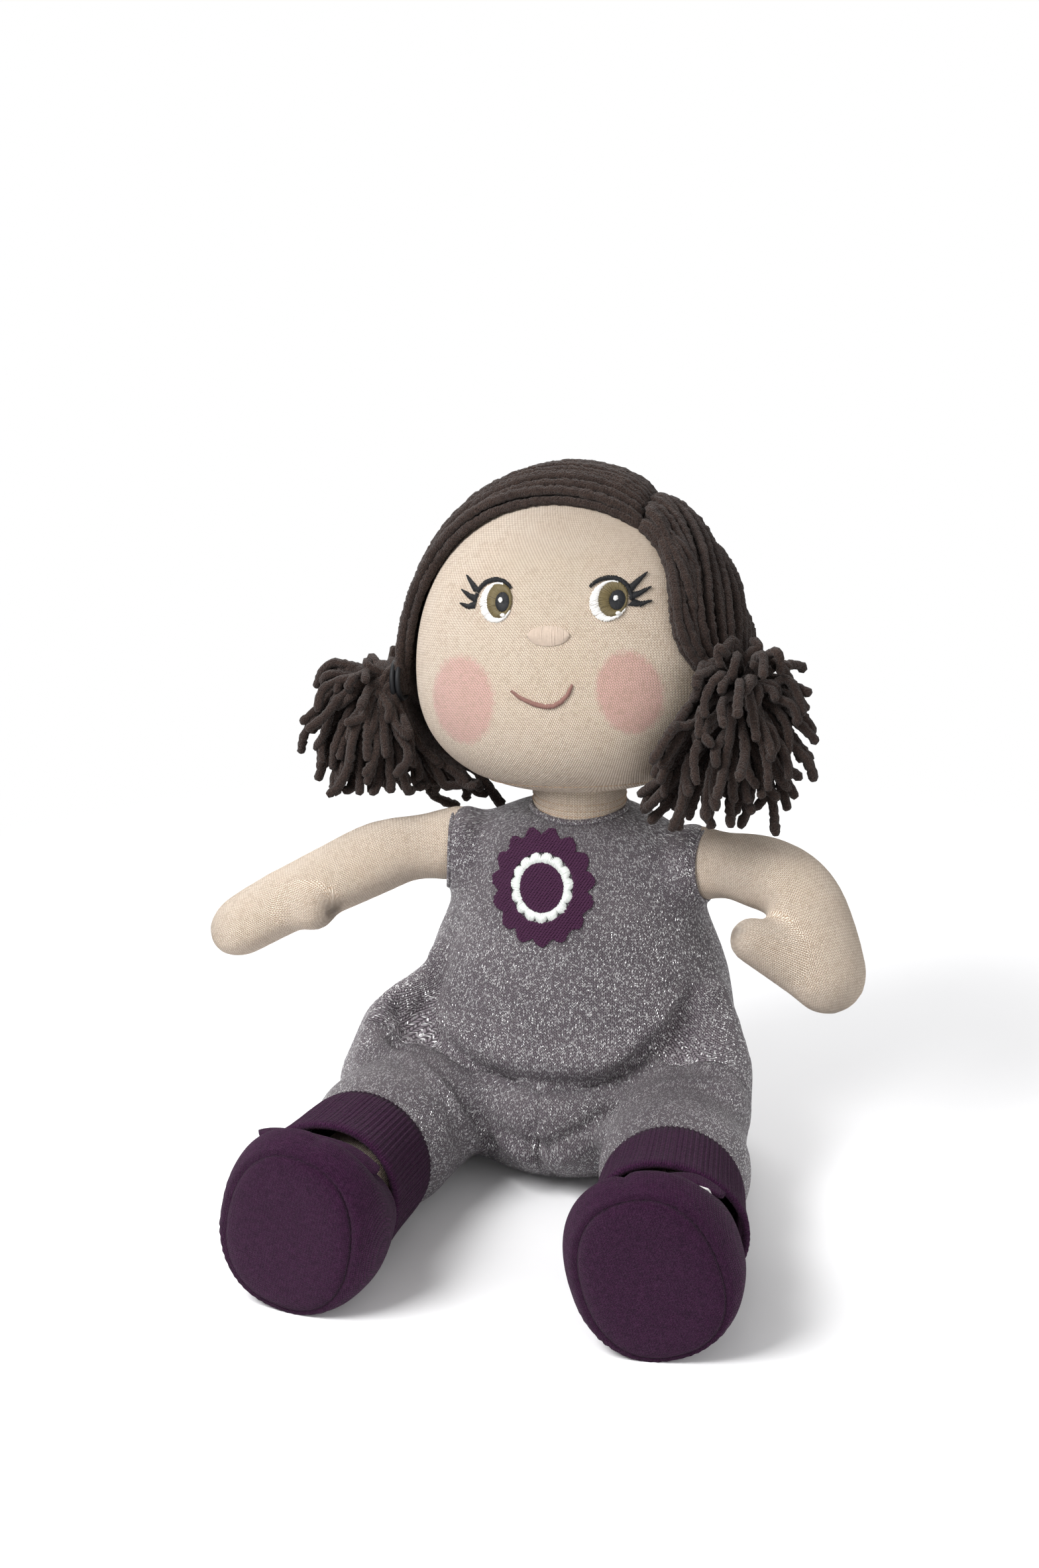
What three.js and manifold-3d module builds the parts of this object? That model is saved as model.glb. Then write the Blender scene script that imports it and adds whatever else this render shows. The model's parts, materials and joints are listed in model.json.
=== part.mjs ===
// Seated knitted doll, about 400 mm tall when it stands: a stuffed knit body in a romper, with yarn hair,
// an embroidered face, jointed neck, arms and legs, and a pair of strap shoes that slide off.
// Millimetres, +Z up, the doll faces -Y and sits on z = 0. "left" and "right" are the doll's own.
import * as THREE from "three";
import { mergeVertices } from "three/addons/utils/BufferGeometryUtils.js";
import Module from "manifold-3d";

const wasm = await Module();
wasm.setup();

// Clearances and cloth
const GAP = 0.4; // between pieces that touch on the doll
const SWING_GAP = 1.2; // round a ball that turns in its socket
const FACET_GAP = 3.5; // for a form with few faces to clear a rounder one
const KNIT = 2; // wall of the knitted skin
const CLOTH = 1.6; // romper knit
const STITCH = 0.8; // height of the embroidery on its ground
const FLAT = 0.5; // depth of the flats that a soft piece stands on
const FAR = 300; // beyond every edge of the doll, for what cuts it

// Torso: half widths and depths up its height
const TORSO_HEIGHT = 136;
const HIP_WIDTH = 119;
const CHEST_WIDTH = 88;
const HIP_DEPTH = 96;
const CHEST_DEPTH = 56;

// Neck and head; the head turns and nods about the centre of the ball on the neck
const NECK_BALL = 18.6;
const NECK_RADIUS = 17.4;
const NECK_RISE = 5; // ball centre above the top of the torso
const NECK_FOOT = TORSO_HEIGHT - 10;
const HEAD_WIDTH = 122;
const HEAD_FRONT = 50;
const HEAD_BACK = 52;
const HEAD_CROWN = 71; // crown above the widest level
const HEAD_JAW = 45.5; // widest level above the underside
const HEAD_LIFT = 1.5; // underside above the centre of the neck's ball
const JAW_SQUARE = 2.4; // 2 is an ellipse, more is squarer
const HEAD_SHIFT = 0.5;
const HEAD_LEAN = THREE.MathUtils.degToRad(-4); // its crown leans to the doll's right
const HEAD_TILT = THREE.MathUtils.degToRad(-8); // it looks slightly up

// Hair
const HAIR_THICK = { right: 7.4, left: 5 }; // either side of the parting
const PARTING = 30; // parting, to the doll's left of the head's axis
const HAIR_SPLIT = 0.6;
const NAPE = 14; // lower edge of the hair above the head's pivot
const TIE_RADIUS = 7.2;
const TIE_THICK = 1.2;
const BUNCH_GAP = 0.6; // round the root of a bunch, which turns in the hair
const BUNCH = { right: [25, 20, 31], left: [31, 20, 32] }; // half sizes of the bunches
const BUNCH_MIDDLE = { right: [-80, 2, 21], left: [57, -23, 27] };
const BUNCH_FOOT = -6; // lower end of the bunches
const TIE_AT = { right: [-67, -6, 44], left: [60.5, -20, 41] };

// Arms, from the shoulder ball to the mitten
const SHOULDER_SPAN = 94;
const SHOULDER_HEIGHT = TORSO_HEIGHT - 18;
const SHOULDER_BACK = -3;
const ARM_BALL = 14.5;
const ARM_ROOT = 12.4;
const ARM_RADIUS = 13.8;
const HAND_WIDTH = 31;
const HAND_THICK = 23;
const THUMB = { right: [11, 9.5], left: [14, 8.5] }; // radius at the root and the tip
// The right arm reaches out and down, the left one bends at the elbow. Points from the shoulder
const ARM_PATH = {
  right: [[-23, -7, -3], [-46, -14, -13.5], [-69, -21, -25.5], [-91, -28, -39]],
  left: [[19, -7, 2], [37, -15, -1], [47, -24, -14], [57, -35, -41]],
};
const THUMB_PATH = {
  right: [[-65, -21, -21], [-50, -26, -21]],
  left: [[47, -28, -25], [26, -40, -13]],
};
const KNOT_RADIUS = 6; // gathered end of the arm, sewn to the body by its shank
const SHANK_RADIUS = 3;
const ARM_LIFT = THREE.MathUtils.degToRad(25); // either way, on the knot

// Legs, in their own frame: the leg points along -Y from the hip
const HIP_SPAN = 92;
const HIP_HEIGHT = 25;
const HIP_FORWARD = 22;
const LEG_SPLAY = { right: THREE.MathUtils.degToRad(8), left: THREE.MathUtils.degToRad(6.5) };
const FOOT_ROLL = { right: 12, left: 18 }; // degrees that the toes lean towards each other
const LEG_BALL = 21.4;
const LEG_RADIUS = 19;
const LEG_LENGTH = 136.2;
const LEG_DOWN = THREE.MathUtils.degToRad(92); // how far the leg swings down
const LEG_UP = THREE.MathUtils.degToRad(10);
const TROUSER_LENGTH = LEG_LENGTH - 68.2; // leaves the cuff and the shoe their room
const TROUSER_FULLNESS = 28;
const TROUSER_DRIFT = { right: -2.4, left: 0.6 }; // its end and the cuff hang to one side
const TROUSER_LIFT = 1.6; // and above the leg's axis
const TROUSER_ROOT = LEG_BALL + 3 * GAP + CLOTH;
const CUFF_LENGTH = 33;
const CUFF_RADIUS = 25;
const CUFF_WALL = 2.4;

// Shoes
const SOLE_THICK = 2;
const SHOE_HEEL = 25.5; // below the leg's axis
const SHOE_TOE = 39; // above it
const SHOE_WIDTH = 58;
const SHOE_DEPTH = 33;
const STRAP_WIDTH = 6.5;
const STRAP_THICK = 2;
const STRAP_REACH = 34;
// The right strap stands free beside the shoe, the left one lies nearly fastened
const STRAP_SPAN = { right: 0.84, left: 0.78 }; // share of its reach
const STRAP_DROP = { right: 6, left: 11 }; // of its free end
const TAPE = 8; // side of the hook-and-loop patches
const TAPE_THICK = 0.7;

// Embroidery
const EYE_SPACING = 40.8;
const EYE_HEIGHT = 76;
// Both eyes look to the doll's left, so the irises sit towards +X in the whites. From the eye's
// centre: x, z, half width and half height
const EYE_WHITE = [0, 0, 6.4, 7];
const EYE_IRIS = [1.9, 0.9, 4.6, 5.7];
const EYE_PUPIL = [3.2, 0.2, 2.5, 3.2];
const EYE_GLINT = [2.6, 0.7, 1, 1];
const LID_RADIUS = 8.1;
const FACE_CENTRE = 1.2;
const NOSE = { width: 15, height: 7, z: 64.5 };
const MOUTH = { width: 23, z: 43, thick: 1.6 };
const FLOWER_RADIUS = 20.5;
const FLOWER_SCALLOPS = 16;
const FLOWER_X = -7.5;
const FLOWER_Z = TORSO_HEIGHT - 22.5;

const COLOURS = {
  skin: 0xead2b6,
  stuffing: 0xf2efe8,
  romper: 0x8d838b,
  plum: 0x4a2748,
  cuff: 0x43233f,
  hair: 0x3d302b,
  thread: 0x1c1a1c,
  white: 0xf3f1ee,
  iris: 0x6f6345,
  nose: 0xecc9b2,
  mouth: 0xb98a85,
  silver: 0xc9c5c6,
};

const V = (x, y, z) => new THREE.Vector3(x, y, z);

// Solids
function solidOf(geometry) {
  const bare = new THREE.BufferGeometry();
  bare.setAttribute("position", geometry.getAttribute("position"));
  if (geometry.index) bare.setIndex(geometry.index);
  const merged = mergeVertices(bare, 1e-4);
  return new wasm.Manifold(
    new wasm.Mesh({
      numProp: 3,
      vertProperties: new Float32Array(merged.attributes.position.array),
      triVerts: new Uint32Array(merged.index.array),
    }),
  );
}

function geometryOf(solid) {
  const mesh = solid.getMesh();
  const geometry = new THREE.BufferGeometry();
  const points = new Float32Array(mesh.numVert * 3);
  for (let i = 0; i < mesh.numVert; i++) {
    points.set(mesh.vertProperties.subarray(i * mesh.numProp, i * mesh.numProp + 3), i * 3);
  }
  geometry.setAttribute("position", new THREE.BufferAttribute(points, 3));
  geometry.setIndex(new THREE.BufferAttribute(new Uint32Array(mesh.triVerts), 1));
  geometry.computeVertexNormals();
  return geometry;
}

const ball = (radius, centre, sides = 20) =>
  solidOf(new THREE.SphereGeometry(radius, sides, Math.round(sides / 2)).translate(...centre));

const rod = (radius, from, to, sides = 20) => taper(radius, radius, from, to, sides);

function taper(fromRadius, toRadius, from, to, sides) {
  const [a, b] = [V(...from), V(...to)];
  const geometry = new THREE.CylinderGeometry(toRadius, fromRadius, a.distanceTo(b), sides);
  const turn = new THREE.Quaternion().setFromUnitVectors(V(0, 1, 0), b.clone().sub(a).normalize());
  geometry.applyQuaternion(turn).translate(...a.clone().add(b).multiplyScalar(0.5));
  return solidOf(geometry);
}

function block(low, high) {
  const size = high.map((value, i) => value - low[i]);
  const middle = high.map((value, i) => (value + low[i]) / 2);
  return solidOf(new THREE.BoxGeometry(...size).translate(...middle));
}

// A ring round the Y axis, from its section's [radius, y] points
function ringOnY(section, sides = 20) {
  const profile = [...section, section[0]].map(([radius, y]) => new THREE.Vector2(radius, y));
  return solidOf(new THREE.LatheGeometry(profile, sides));
}

// The (x, z) outline pushed along Y from one depth to another
function alongY(outline, yFrom, yTo, curveSegments = 6) {
  const geometry = new THREE.ExtrudeGeometry(outline, {
    depth: yTo - yFrom,
    bevelEnabled: false,
    curveSegments,
  });
  return solidOf(geometry.rotateX(Math.PI / 2).translate(0, yTo, 0));
}

const outlineOf = (points) => new THREE.Shape(points.map(([x, z]) => new THREE.Vector2(x, z)));

const oval = (x, z, halfWidth, halfHeight, lean = 0) =>
  new THREE.Shape().absellipse(x, z, halfWidth, halfHeight, 0, 2 * Math.PI, false, lean);

// A band along a curve through the points, thinner towards its ends
function bandAlong(points, halfThick, steps, endShare = 0.35) {
  const curve = new THREE.SplineCurve(points.map(([x, z]) => new THREE.Vector2(x, z)));
  const left = [];
  const right = [];
  for (let i = 0; i <= steps; i++) {
    const t = i / steps;
    const at = curve.getPoint(t);
    const along = curve.getTangent(t);
    const half = halfThick * (endShare + (1 - endShare) * Math.sin(Math.PI * t));
    left.push([at.x - along.y * half, at.y + along.x * half]);
    right.unshift([at.x + along.y * half, at.y - along.x * half]);
  }
  return outlineOf([...left, ...right]);
}

// A closed form given by point(u, v): u goes once round, v from the first pole to the last.
// solid(offset) is the same form with its surface moved out along its normals.
class Form {
  constructor(point, sides, levels) {
    Object.assign(this, { point, sides, levels });
  }

  moved(u, v, offset) {
    const at = this.point(u, v);
    if (offset === 0) return at;
    const du = this.point(u + 1e-3, v).sub(this.point(u - 1e-3, v));
    const dv = this.point(u, Math.min(v + 1e-3, 1)).sub(this.point(u, Math.max(v - 1e-3, 0)));
    return at.addScaledVector(du.cross(dv).normalize(), offset);
  }

  pole(v, offset) {
    const inward = v === 0 ? this.levels[0] : this.levels.at(-1);
    const outward = V(0, 0, 0);
    for (let i = 0; i < this.sides; i++) {
      outward.add(this.moved(i / this.sides, inward, 1)).sub(this.point(i / this.sides, inward));
    }
    return this.point(0, v).addScaledVector(outward.normalize(), offset);
  }

  solid(offset = 0) {
    const points = [];
    for (const v of this.levels) {
      for (let i = 0; i < this.sides; i++) points.push(...this.moved(i / this.sides, v, offset));
    }
    const first = points.length / 3;
    points.push(...this.pole(0, offset), ...this.pole(1, offset));
    const faces = [];
    const last = (this.levels.length - 1) * this.sides;
    for (let i = 0; i < this.sides; i++) {
      const next = (i + 1) % this.sides;
      faces.push(first, next, i, first + 1, last + i, last + next);
      for (let row = 0; row < last; row += this.sides) {
        faces.push(row + i, row + next, row + this.sides + i);
        faces.push(row + next, row + this.sides + next, row + this.sides + i);
      }
    }
    const geometry = new THREE.BufferGeometry();
    geometry.setAttribute("position", new THREE.Float32BufferAttribute(points, 3));
    return solidOf(geometry.setIndex(faces));
  }
}

const evenly = (count) => Array.from({ length: count }, (_, i) => (i + 1) / (count + 1));

// Reads rows of numbers as smooth curves over t = 0 to 1
function smoothRows(rows) {
  const width = rows[0].length;
  const curves = [];
  for (let column = 0; column < width; column += 2) {
    const pairs = rows.map((row) => new THREE.Vector2(row[column], row[column + 1] ?? 0));
    curves.push(new THREE.SplineCurve(pairs));
  }
  const clamped = (t) => Math.min(Math.max(t, 0), 1);
  return (t) => curves.flatMap((curve) => curve.getPoint(clamped(t)).toArray()).slice(0, width);
}

// An upright form from rows of [height, half width, front depth, back depth]
function uprightForm(rows, sides, count) {
  const read = smoothRows(rows);
  const point = (u, v) => {
    const [z, width, front, back] = read(v);
    const turn = 2 * Math.PI * u;
    const depth = Math.sin(turn) < 0 ? front : back;
    return V(Math.max(width, 0) * Math.cos(turn), Math.max(depth, 0) * Math.sin(turn), z);
  };
  return new Form(point, sides, evenly(count));
}

// A limb along a path, from rows of [share of the path, side radius, upper radius], with round ends
function limbForm({ path, rows, startCap, endCap, sides, count, capSteps = [0.12, 0.5] }) {
  const length = path.getLength();
  const read = smoothRows(rows.map(([share, side, upper]) => [share, side, upper, 0]));
  const sizeAt = (share) => {
    let low = 0;
    let high = 1;
    for (let i = 0; i < 24; i++) {
      const middle = (low + high) / 2;
      if (read(middle)[0] < share) low = middle;
      else high = middle;
    }
    return read(low).slice(1, 3);
  };
  const round = (distance, cap) => {
    const left = Math.min(Math.max((cap - distance) / cap, 0), 1);
    return Math.sqrt(1 - left ** 2);
  };
  const point = (u, v) => {
    const distance = v * length;
    const share = round(distance, startCap) * round(length - distance, endCap);
    const [side, upper] = sizeAt(v);
    const along = path.getTangentAt(v);
    const across = along.clone().cross(V(0, 0, 1)).normalize();
    const over = across.clone().cross(along).normalize();
    const turn = 2 * Math.PI * u;
    return path
      .getPointAt(v)
      .addScaledVector(across, share * side * Math.cos(turn))
      .addScaledVector(over, -share * upper * Math.sin(turn));
  };
  const levels = [];
  for (const part of capSteps) levels.push((part * startCap) / length);
  const [a, b] = [startCap / length, 1 - endCap / length];
  for (let i = 0; i <= count; i++) levels.push(a + ((b - a) * i) / count);
  for (const part of [0.5, 0.12]) levels.push(1 - (part * endCap) / length);
  return new Form(point, sides, levels);
}

// Meshes
const doll = new THREE.Group();

function mesh(parent, name, solid, colour, roughness = 0.95) {
  const material = new THREE.MeshStandardMaterial({ color: COLOURS[colour], roughness, metalness: 0 });
  const made = new THREE.Mesh(geometryOf(solid), material);
  made.name = name;
  parent.add(made);
}

function group(parent, position, rotation = [0, 0, 0]) {
  const made = new THREE.Group();
  made.position.set(...position);
  made.rotation.set(...rotation);
  parent.add(made);
  return made;
}

const sides = { right: -1, left: 1 };
const hipAt = (side) => [(side * HIP_SPAN) / 2, -HIP_FORWARD, HIP_HEIGHT];
const shoulderAt = (side) => [(side * SHOULDER_SPAN) / 2, SHOULDER_BACK, SHOULDER_HEIGHT];
const neckPivot = [0, 0, TORSO_HEIGHT + NECK_RISE];

// Torso: a pear that is widest at the hips and slopes to the neck
const hip = HIP_WIDTH / 2;
const chest = CHEST_WIDTH / 2;
const hipDepth = HIP_DEPTH / 2;
const chestDepth = CHEST_DEPTH / 2;
const seatBase = CLOTH + GAP - FLAT;
const torsoForm = uprightForm(
  [
    [seatBase, 0, 0, 0],
    [seatBase + 0.8, 0.5 * hip, 0.72 * hipDepth, 0.5 * hipDepth],
    [0.05 * TORSO_HEIGHT, 0.76 * hip, 1.0 * hipDepth, 0.7 * hipDepth],
    [0.15 * TORSO_HEIGHT, 0.93 * hip, 1.08 * hipDepth, 0.86 * hipDepth],
    [0.32 * TORSO_HEIGHT, hip, 1.02 * hipDepth, 0.92 * hipDepth],
    [0.53 * TORSO_HEIGHT, 0.95 * hip, 0.9 * hipDepth, 0.86 * hipDepth],
    [0.71 * TORSO_HEIGHT, 1.08 * chest, 1.26 * chestDepth, 1.2 * chestDepth],
    [0.84 * TORSO_HEIGHT, chest, chestDepth, chestDepth],
    [0.93 * TORSO_HEIGHT, 0.86 * chest, 0.8 * chestDepth, 0.8 * chestDepth],
    [0.975 * TORSO_HEIGHT, 0.6 * chest, 0.68 * chestDepth, 0.68 * chestDepth],
    [0.995 * TORSO_HEIGHT, 0.4 * chest, 0.55 * chestDepth, 0.55 * chestDepth],
    [TORSO_HEIGHT, 0, 0, 0],
  ],
  18,
  11,
);

const plainTorso = new Form(torsoForm.point, 12, evenly(8));

// The room that a leg sweeps, in its frame: a ball, the leg ahead, the leg below and the sector between
function legRoom(extra, count) {
  const radius = TROUSER_ROOT + SWING_GAP + extra;
  const reach = LEG_LENGTH / 2;
  const aim = (angle) => [0, -reach * Math.cos(angle), -reach * Math.sin(angle)];
  const sector = new THREE.Shape();
  sector.absarc(0, 0, reach, Math.PI - LEG_UP, Math.PI + LEG_DOWN, false);
  sector.lineTo(0, 0);
  const fan = new THREE.ExtrudeGeometry(sector, { depth: 2 * radius, bevelEnabled: false, curveSegments: 2 });
  // The sector's x becomes Y and its y becomes Z
  const upright = new THREE.Matrix4().makeBasis(V(0, 1, 0), V(0, 0, 1), V(1, 0, 0));
  fan.translate(0, 0, -radius).applyMatrix4(upright);
  return ball(radius, [0, 0, 0], count)
    .add(rod(radius, [0, 0, 0], aim(-LEG_UP), count))
    .add(rod(radius, [0, 0, 0], aim(LEG_DOWN), count))
    .add(solidOf(fan));
}

function placed(solid, position, turnZ = 0) {
  return solid.rotate([0, 0, THREE.MathUtils.radToDeg(turnZ)]).translate(position);
}

// What the limbs and the neck need clear in the torso and the romper; extra keeps a wall round it
function limbRoom(extra, count) {
  let room = rod(NECK_BALL + GAP + extra, [0, 0, NECK_FOOT - extra], [0, 0, TORSO_HEIGHT + 20], count + 4);
  for (const [name, side] of Object.entries(sides)) {
    room = room.add(placed(legRoom(extra, count), hipAt(side), side * LEG_SPLAY[name]));
    room = room.add(ball(ARM_BALL + SWING_GAP + extra, shoulderAt(side), count));
  }
  return room;
}

const bareRoom = limbRoom(0, 16);
const roomWall = KNIT + SWING_GAP; // leaves a wall behind the few flat faces
const cavity = plainTorso.solid(-KNIT).subtract(limbRoom(roomWall, 12));
const floor = block([-FAR, -FAR, -FAR], [FAR, FAR, 0]);
const neckWell = rod(0.5 * NECK_RADIUS, [0, 0, 0.8 * NECK_FOOT], [0, 0, TORSO_HEIGHT], 12);
mesh(doll, "torso_skin", torsoForm.solid().subtract(bareRoom).subtract(cavity).subtract(neckWell), "skin");
mesh(doll, "torso_filling", plainTorso.solid(-KNIT - GAP).subtract(limbRoom(roomWall + GAP, 12)), "stuffing");

const romperNeck = rod(NECK_BALL + 2 * GAP, [0, 0, NECK_FOOT], [0, 0, TORSO_HEIGHT + 20], 20);
const romper = torsoForm.solid(GAP + CLOTH).subtract(torsoForm.solid(GAP)).subtract(bareRoom);
mesh(doll, "romper_bodice", romper.subtract(romperNeck).subtract(floor), "romper");

// Flower on the chest: a scalloped disc, a scalloped ring and a round centre, each stitched beside the next
function scalloped(x, z, radius, lobes, depth) {
  const outline = [];
  for (let i = 0; i < 3 * lobes; i++) {
    const turn = (2 * Math.PI * i) / (3 * lobes);
    const reach = radius - depth * (1 - Math.abs(Math.sin((lobes * turn) / 2)));
    outline.push([x + reach * Math.cos(turn), z + reach * Math.sin(turn)]);
  }
  return outlineOf(outline);
}

const chestGround = GAP + CLOTH + 0.3;
const chestPatch = torsoForm.solid(chestGround + STITCH).subtract(torsoForm.solid(chestGround));
const onChest = (outline) => chestPatch.intersect(alongY(outline, -FAR, 0));
const ringOuter = 0.61 * FLOWER_RADIUS;
const ringInner = 0.41 * FLOWER_RADIUS;
const seam = 0.3;
mesh(
  doll,
  "flower_petals",
  onChest(scalloped(FLOWER_X, FLOWER_Z, FLOWER_RADIUS, FLOWER_SCALLOPS, 1.8)).subtract(
    alongY(scalloped(FLOWER_X, FLOWER_Z, ringOuter + seam, FLOWER_SCALLOPS, 1), -FAR, 0),
  ),
  "plum",
);
mesh(
  doll,
  "flower_ring",
  onChest(scalloped(FLOWER_X, FLOWER_Z, ringOuter, FLOWER_SCALLOPS, 1)).subtract(
    alongY(oval(FLOWER_X, FLOWER_Z, ringInner + seam, ringInner + seam), -FAR, 0),
  ),
  "silver",
  0.5,
);
mesh(doll, "flower_centre", onChest(oval(FLOWER_X, FLOWER_Z, ringInner, ringInner)), "plum");

// Neck: a stuffed column with a ball on top
const neckBall = ball(NECK_BALL, neckPivot, 20).subtract(block([-FAR, -FAR, 0], [FAR, FAR, TORSO_HEIGHT - NECK_RISE]));
const neck = rod(NECK_RADIUS, [0, 0, NECK_FOOT + GAP], neckPivot, 20).add(neckBall);
mesh(doll, "neck", neck, "skin");

// Head: an egg whose lower half is squarer than its crown
const headForm = new Form(
  (u, v) => {
    const level = Math.PI * (v - 0.5);
    const square = level < 0 ? 2 / JAW_SQUARE : 1;
    const rise = Math.abs(Math.sin(level)) ** square;
    const spread = Math.abs(Math.cos(level)) ** square;
    const turn = 2 * Math.PI * u;
    const depth = Math.sin(turn) < 0 ? HEAD_FRONT : HEAD_BACK;
    return V(
      HEAD_SHIFT + (HEAD_WIDTH / 2) * spread * Math.cos(turn),
      depth * spread * Math.sin(turn),
      HEAD_LIFT + HEAD_JAW + (level < 0 ? -HEAD_JAW : HEAD_CROWN) * rise,
    );
  },
  20,
  evenly(10),
);
const plainHead = new Form(headForm.point, 12, evenly(7)); // few faces, for what is hidden
const head = group(doll, neckPivot, [HEAD_TILT, HEAD_LEAN, 0]);
const neckSocket = ball(NECK_BALL + SWING_GAP, [0, 0, 0], 20);
mesh(head, "head_skin", headForm.solid().subtract(plainHead.solid(-KNIT)).subtract(neckSocket), "skin");
mesh(head, "head_filling", plainHead.solid(-KNIT - GAP).subtract(neckSocket), "stuffing");

// Hair: two shells that meet at the parting, open at the face, over the whole back of the head
const hairline = [
  [-63, 44],
  [-60.5, 56],
  [-57, 72],
  [-49, 88],
  [-36, 100],
  [-18, 107.5],
  [0, 109.5],
  [16, 106.5],
  [31, 100],
  [36, 88],
  [41, 72],
  [44, 56],
  [46, 44],
];
const faceOutline = outlineOf([[-FAR, -FAR], [-FAR, 44], ...hairline, [FAR, 44], [FAR, -FAR]]);
const faceOpening = alongY(faceOutline, -FAR, -4);
const bunchRoot = TIE_RADIUS + TIE_THICK;
const pastParting = {
  right: block([-FAR, -FAR, -FAR], [PARTING - HAIR_SPLIT / 2, FAR, FAR]),
  left: block([PARTING + HAIR_SPLIT / 2, -FAR, -FAR], [FAR, FAR, FAR]),
};
for (const side of ["right", "left"]) {
  const hair = headForm
    .solid(GAP + HAIR_THICK[side])
    .subtract(headForm.solid(GAP))
    .subtract(faceOpening)
    .subtract(block([-FAR, -FAR, -FAR], [FAR, FAR, NAPE]))
    .subtract(ball(bunchRoot + BUNCH_GAP, TIE_AT[side]));
  mesh(head, `hair_${side}`, hair.intersect(pastParting[side]), "hair");
}

// Plain bounds keep the bunches off the head and its hair; their flat faces lie inside the round ones
const headBounds = plainHead.solid(GAP + FACET_GAP);
const hairBounds = plainHead.solid(GAP + HAIR_THICK.right + FACET_GAP);

// Bunches: full tufts that flare from their tie, lobed where the yarn ends part
for (const side of ["right", "left"]) {
  const [halfX, halfY, halfZ] = BUNCH[side];
  const middle = BUNCH_MIDDLE[side];
  const tuft = new Form(
    (u, v) => {
      const level = Math.PI * (v - 0.5);
      const turn = 2 * Math.PI * u;
      const lobe = 1 + 0.05 * Math.cos(7 * turn) * Math.cos(level);
      return V(
        middle[0] + halfX * lobe * Math.cos(level) * Math.cos(turn),
        middle[1] + halfY * lobe * Math.cos(level) * Math.sin(turn),
        middle[2] + halfZ * Math.sin(level),
      );
    },
    14,
    evenly(5),
  );
  const band = (thick) =>
    solidOf(new THREE.TorusGeometry(TIE_RADIUS, thick, 5, 12).rotateY(Math.PI / 2).translate(...TIE_AT[side]));
  const bunch = tuft
    .solid()
    .subtract(hairBounds)
    .add(ball(bunchRoot, TIE_AT[side], 12))
    .subtract(headBounds)
    .subtract(band(TIE_THICK + GAP))
    .subtract(block([-FAR, -FAR, -FAR], [FAR, FAR, BUNCH_FOOT]));
  mesh(head, `hair_tie_${side}`, band(TIE_THICK), "thread");
  mesh(head, `pigtail_${side}`, bunch, "hair");
}

// Face: each field of stitches is cut from a skin over the head, beside its neighbours
const facePatch = headForm.solid(0.3 + STITCH).subtract(headForm.solid(0.3));
const cutter = (outline) => alongY(outline, -FAR, 0);
const onFace = (outline) => facePatch.intersect(cutter(outline));
for (const [name, side] of Object.entries(sides)) {
  const x = FACE_CENTRE + (side * EYE_SPACING) / 2;
  const field = ([dx, dz, halfX, halfZ], extra = 0) =>
    oval(x + dx, EYE_HEIGHT + dz, halfX + extra, halfZ + extra);
  const stitched = (outer, inner) => onFace(field(outer)).subtract(cutter(field(inner, seam)));
  mesh(head, `eye_${name}_white`, stitched(EYE_WHITE, EYE_IRIS), "white");
  mesh(head, `eye_${name}_iris`, stitched(EYE_IRIS, EYE_PUPIL), "iris");
  mesh(head, `eye_${name}_pupil`, stitched(EYE_PUPIL, EYE_GLINT), "thread");
  mesh(head, `eye_${name}_glint`, onFace(field(EYE_GLINT)), "white");
  const lid = [];
  for (const degrees of [0, 30, 60, 90, 120, 150]) {
    const turn = THREE.MathUtils.degToRad(degrees - 5);
    lid.push([x + side * LID_RADIUS * Math.cos(turn), EYE_HEIGHT + LID_RADIUS * Math.sin(turn)]);
  }
  const lashes = [
    [lid[0], [x + side * 12.5, EYE_HEIGHT - 1], [x + side * 16, EYE_HEIGHT]],
    [lid[0], [x + side * 12, EYE_HEIGHT + 2.8], [x + side * 15, EYE_HEIGHT + 4.2]],
    [lid[1], [x + side * 10.5, EYE_HEIGHT + 6], [x + side * 13, EYE_HEIGHT + 8.6]],
  ];
  let trim = onFace(bandAlong(lid, 0.75, 7, 0.7));
  for (const lash of lashes) trim = trim.add(onFace(bandAlong(lash, 0.8, 3, 0.6)));
  trim = trim.subtract(cutter(field(EYE_WHITE, seam)));
  mesh(head, `eye_${name}_lid_and_lashes`, trim, "thread");
}
mesh(head, "nose", onFace(oval(FACE_CENTRE, NOSE.z, NOSE.width / 2, NOSE.height / 2)), "nose");
const smile = [
  [FACE_CENTRE - 0.6 * MOUTH.width, MOUTH.z + 2],
  [FACE_CENTRE - 0.25 * MOUTH.width, MOUTH.z - 2.4],
  [FACE_CENTRE + 0.05 * MOUTH.width, MOUTH.z - 3.4],
  [FACE_CENTRE + 0.26 * MOUTH.width, MOUTH.z - 0.6],
  [FACE_CENTRE + 0.4 * MOUTH.width, MOUTH.z + 4.6],
];
mesh(head, "mouth", onFace(bandAlong(smile, MOUTH.thick / 2, 12, 0.4)), "mouth");

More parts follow.
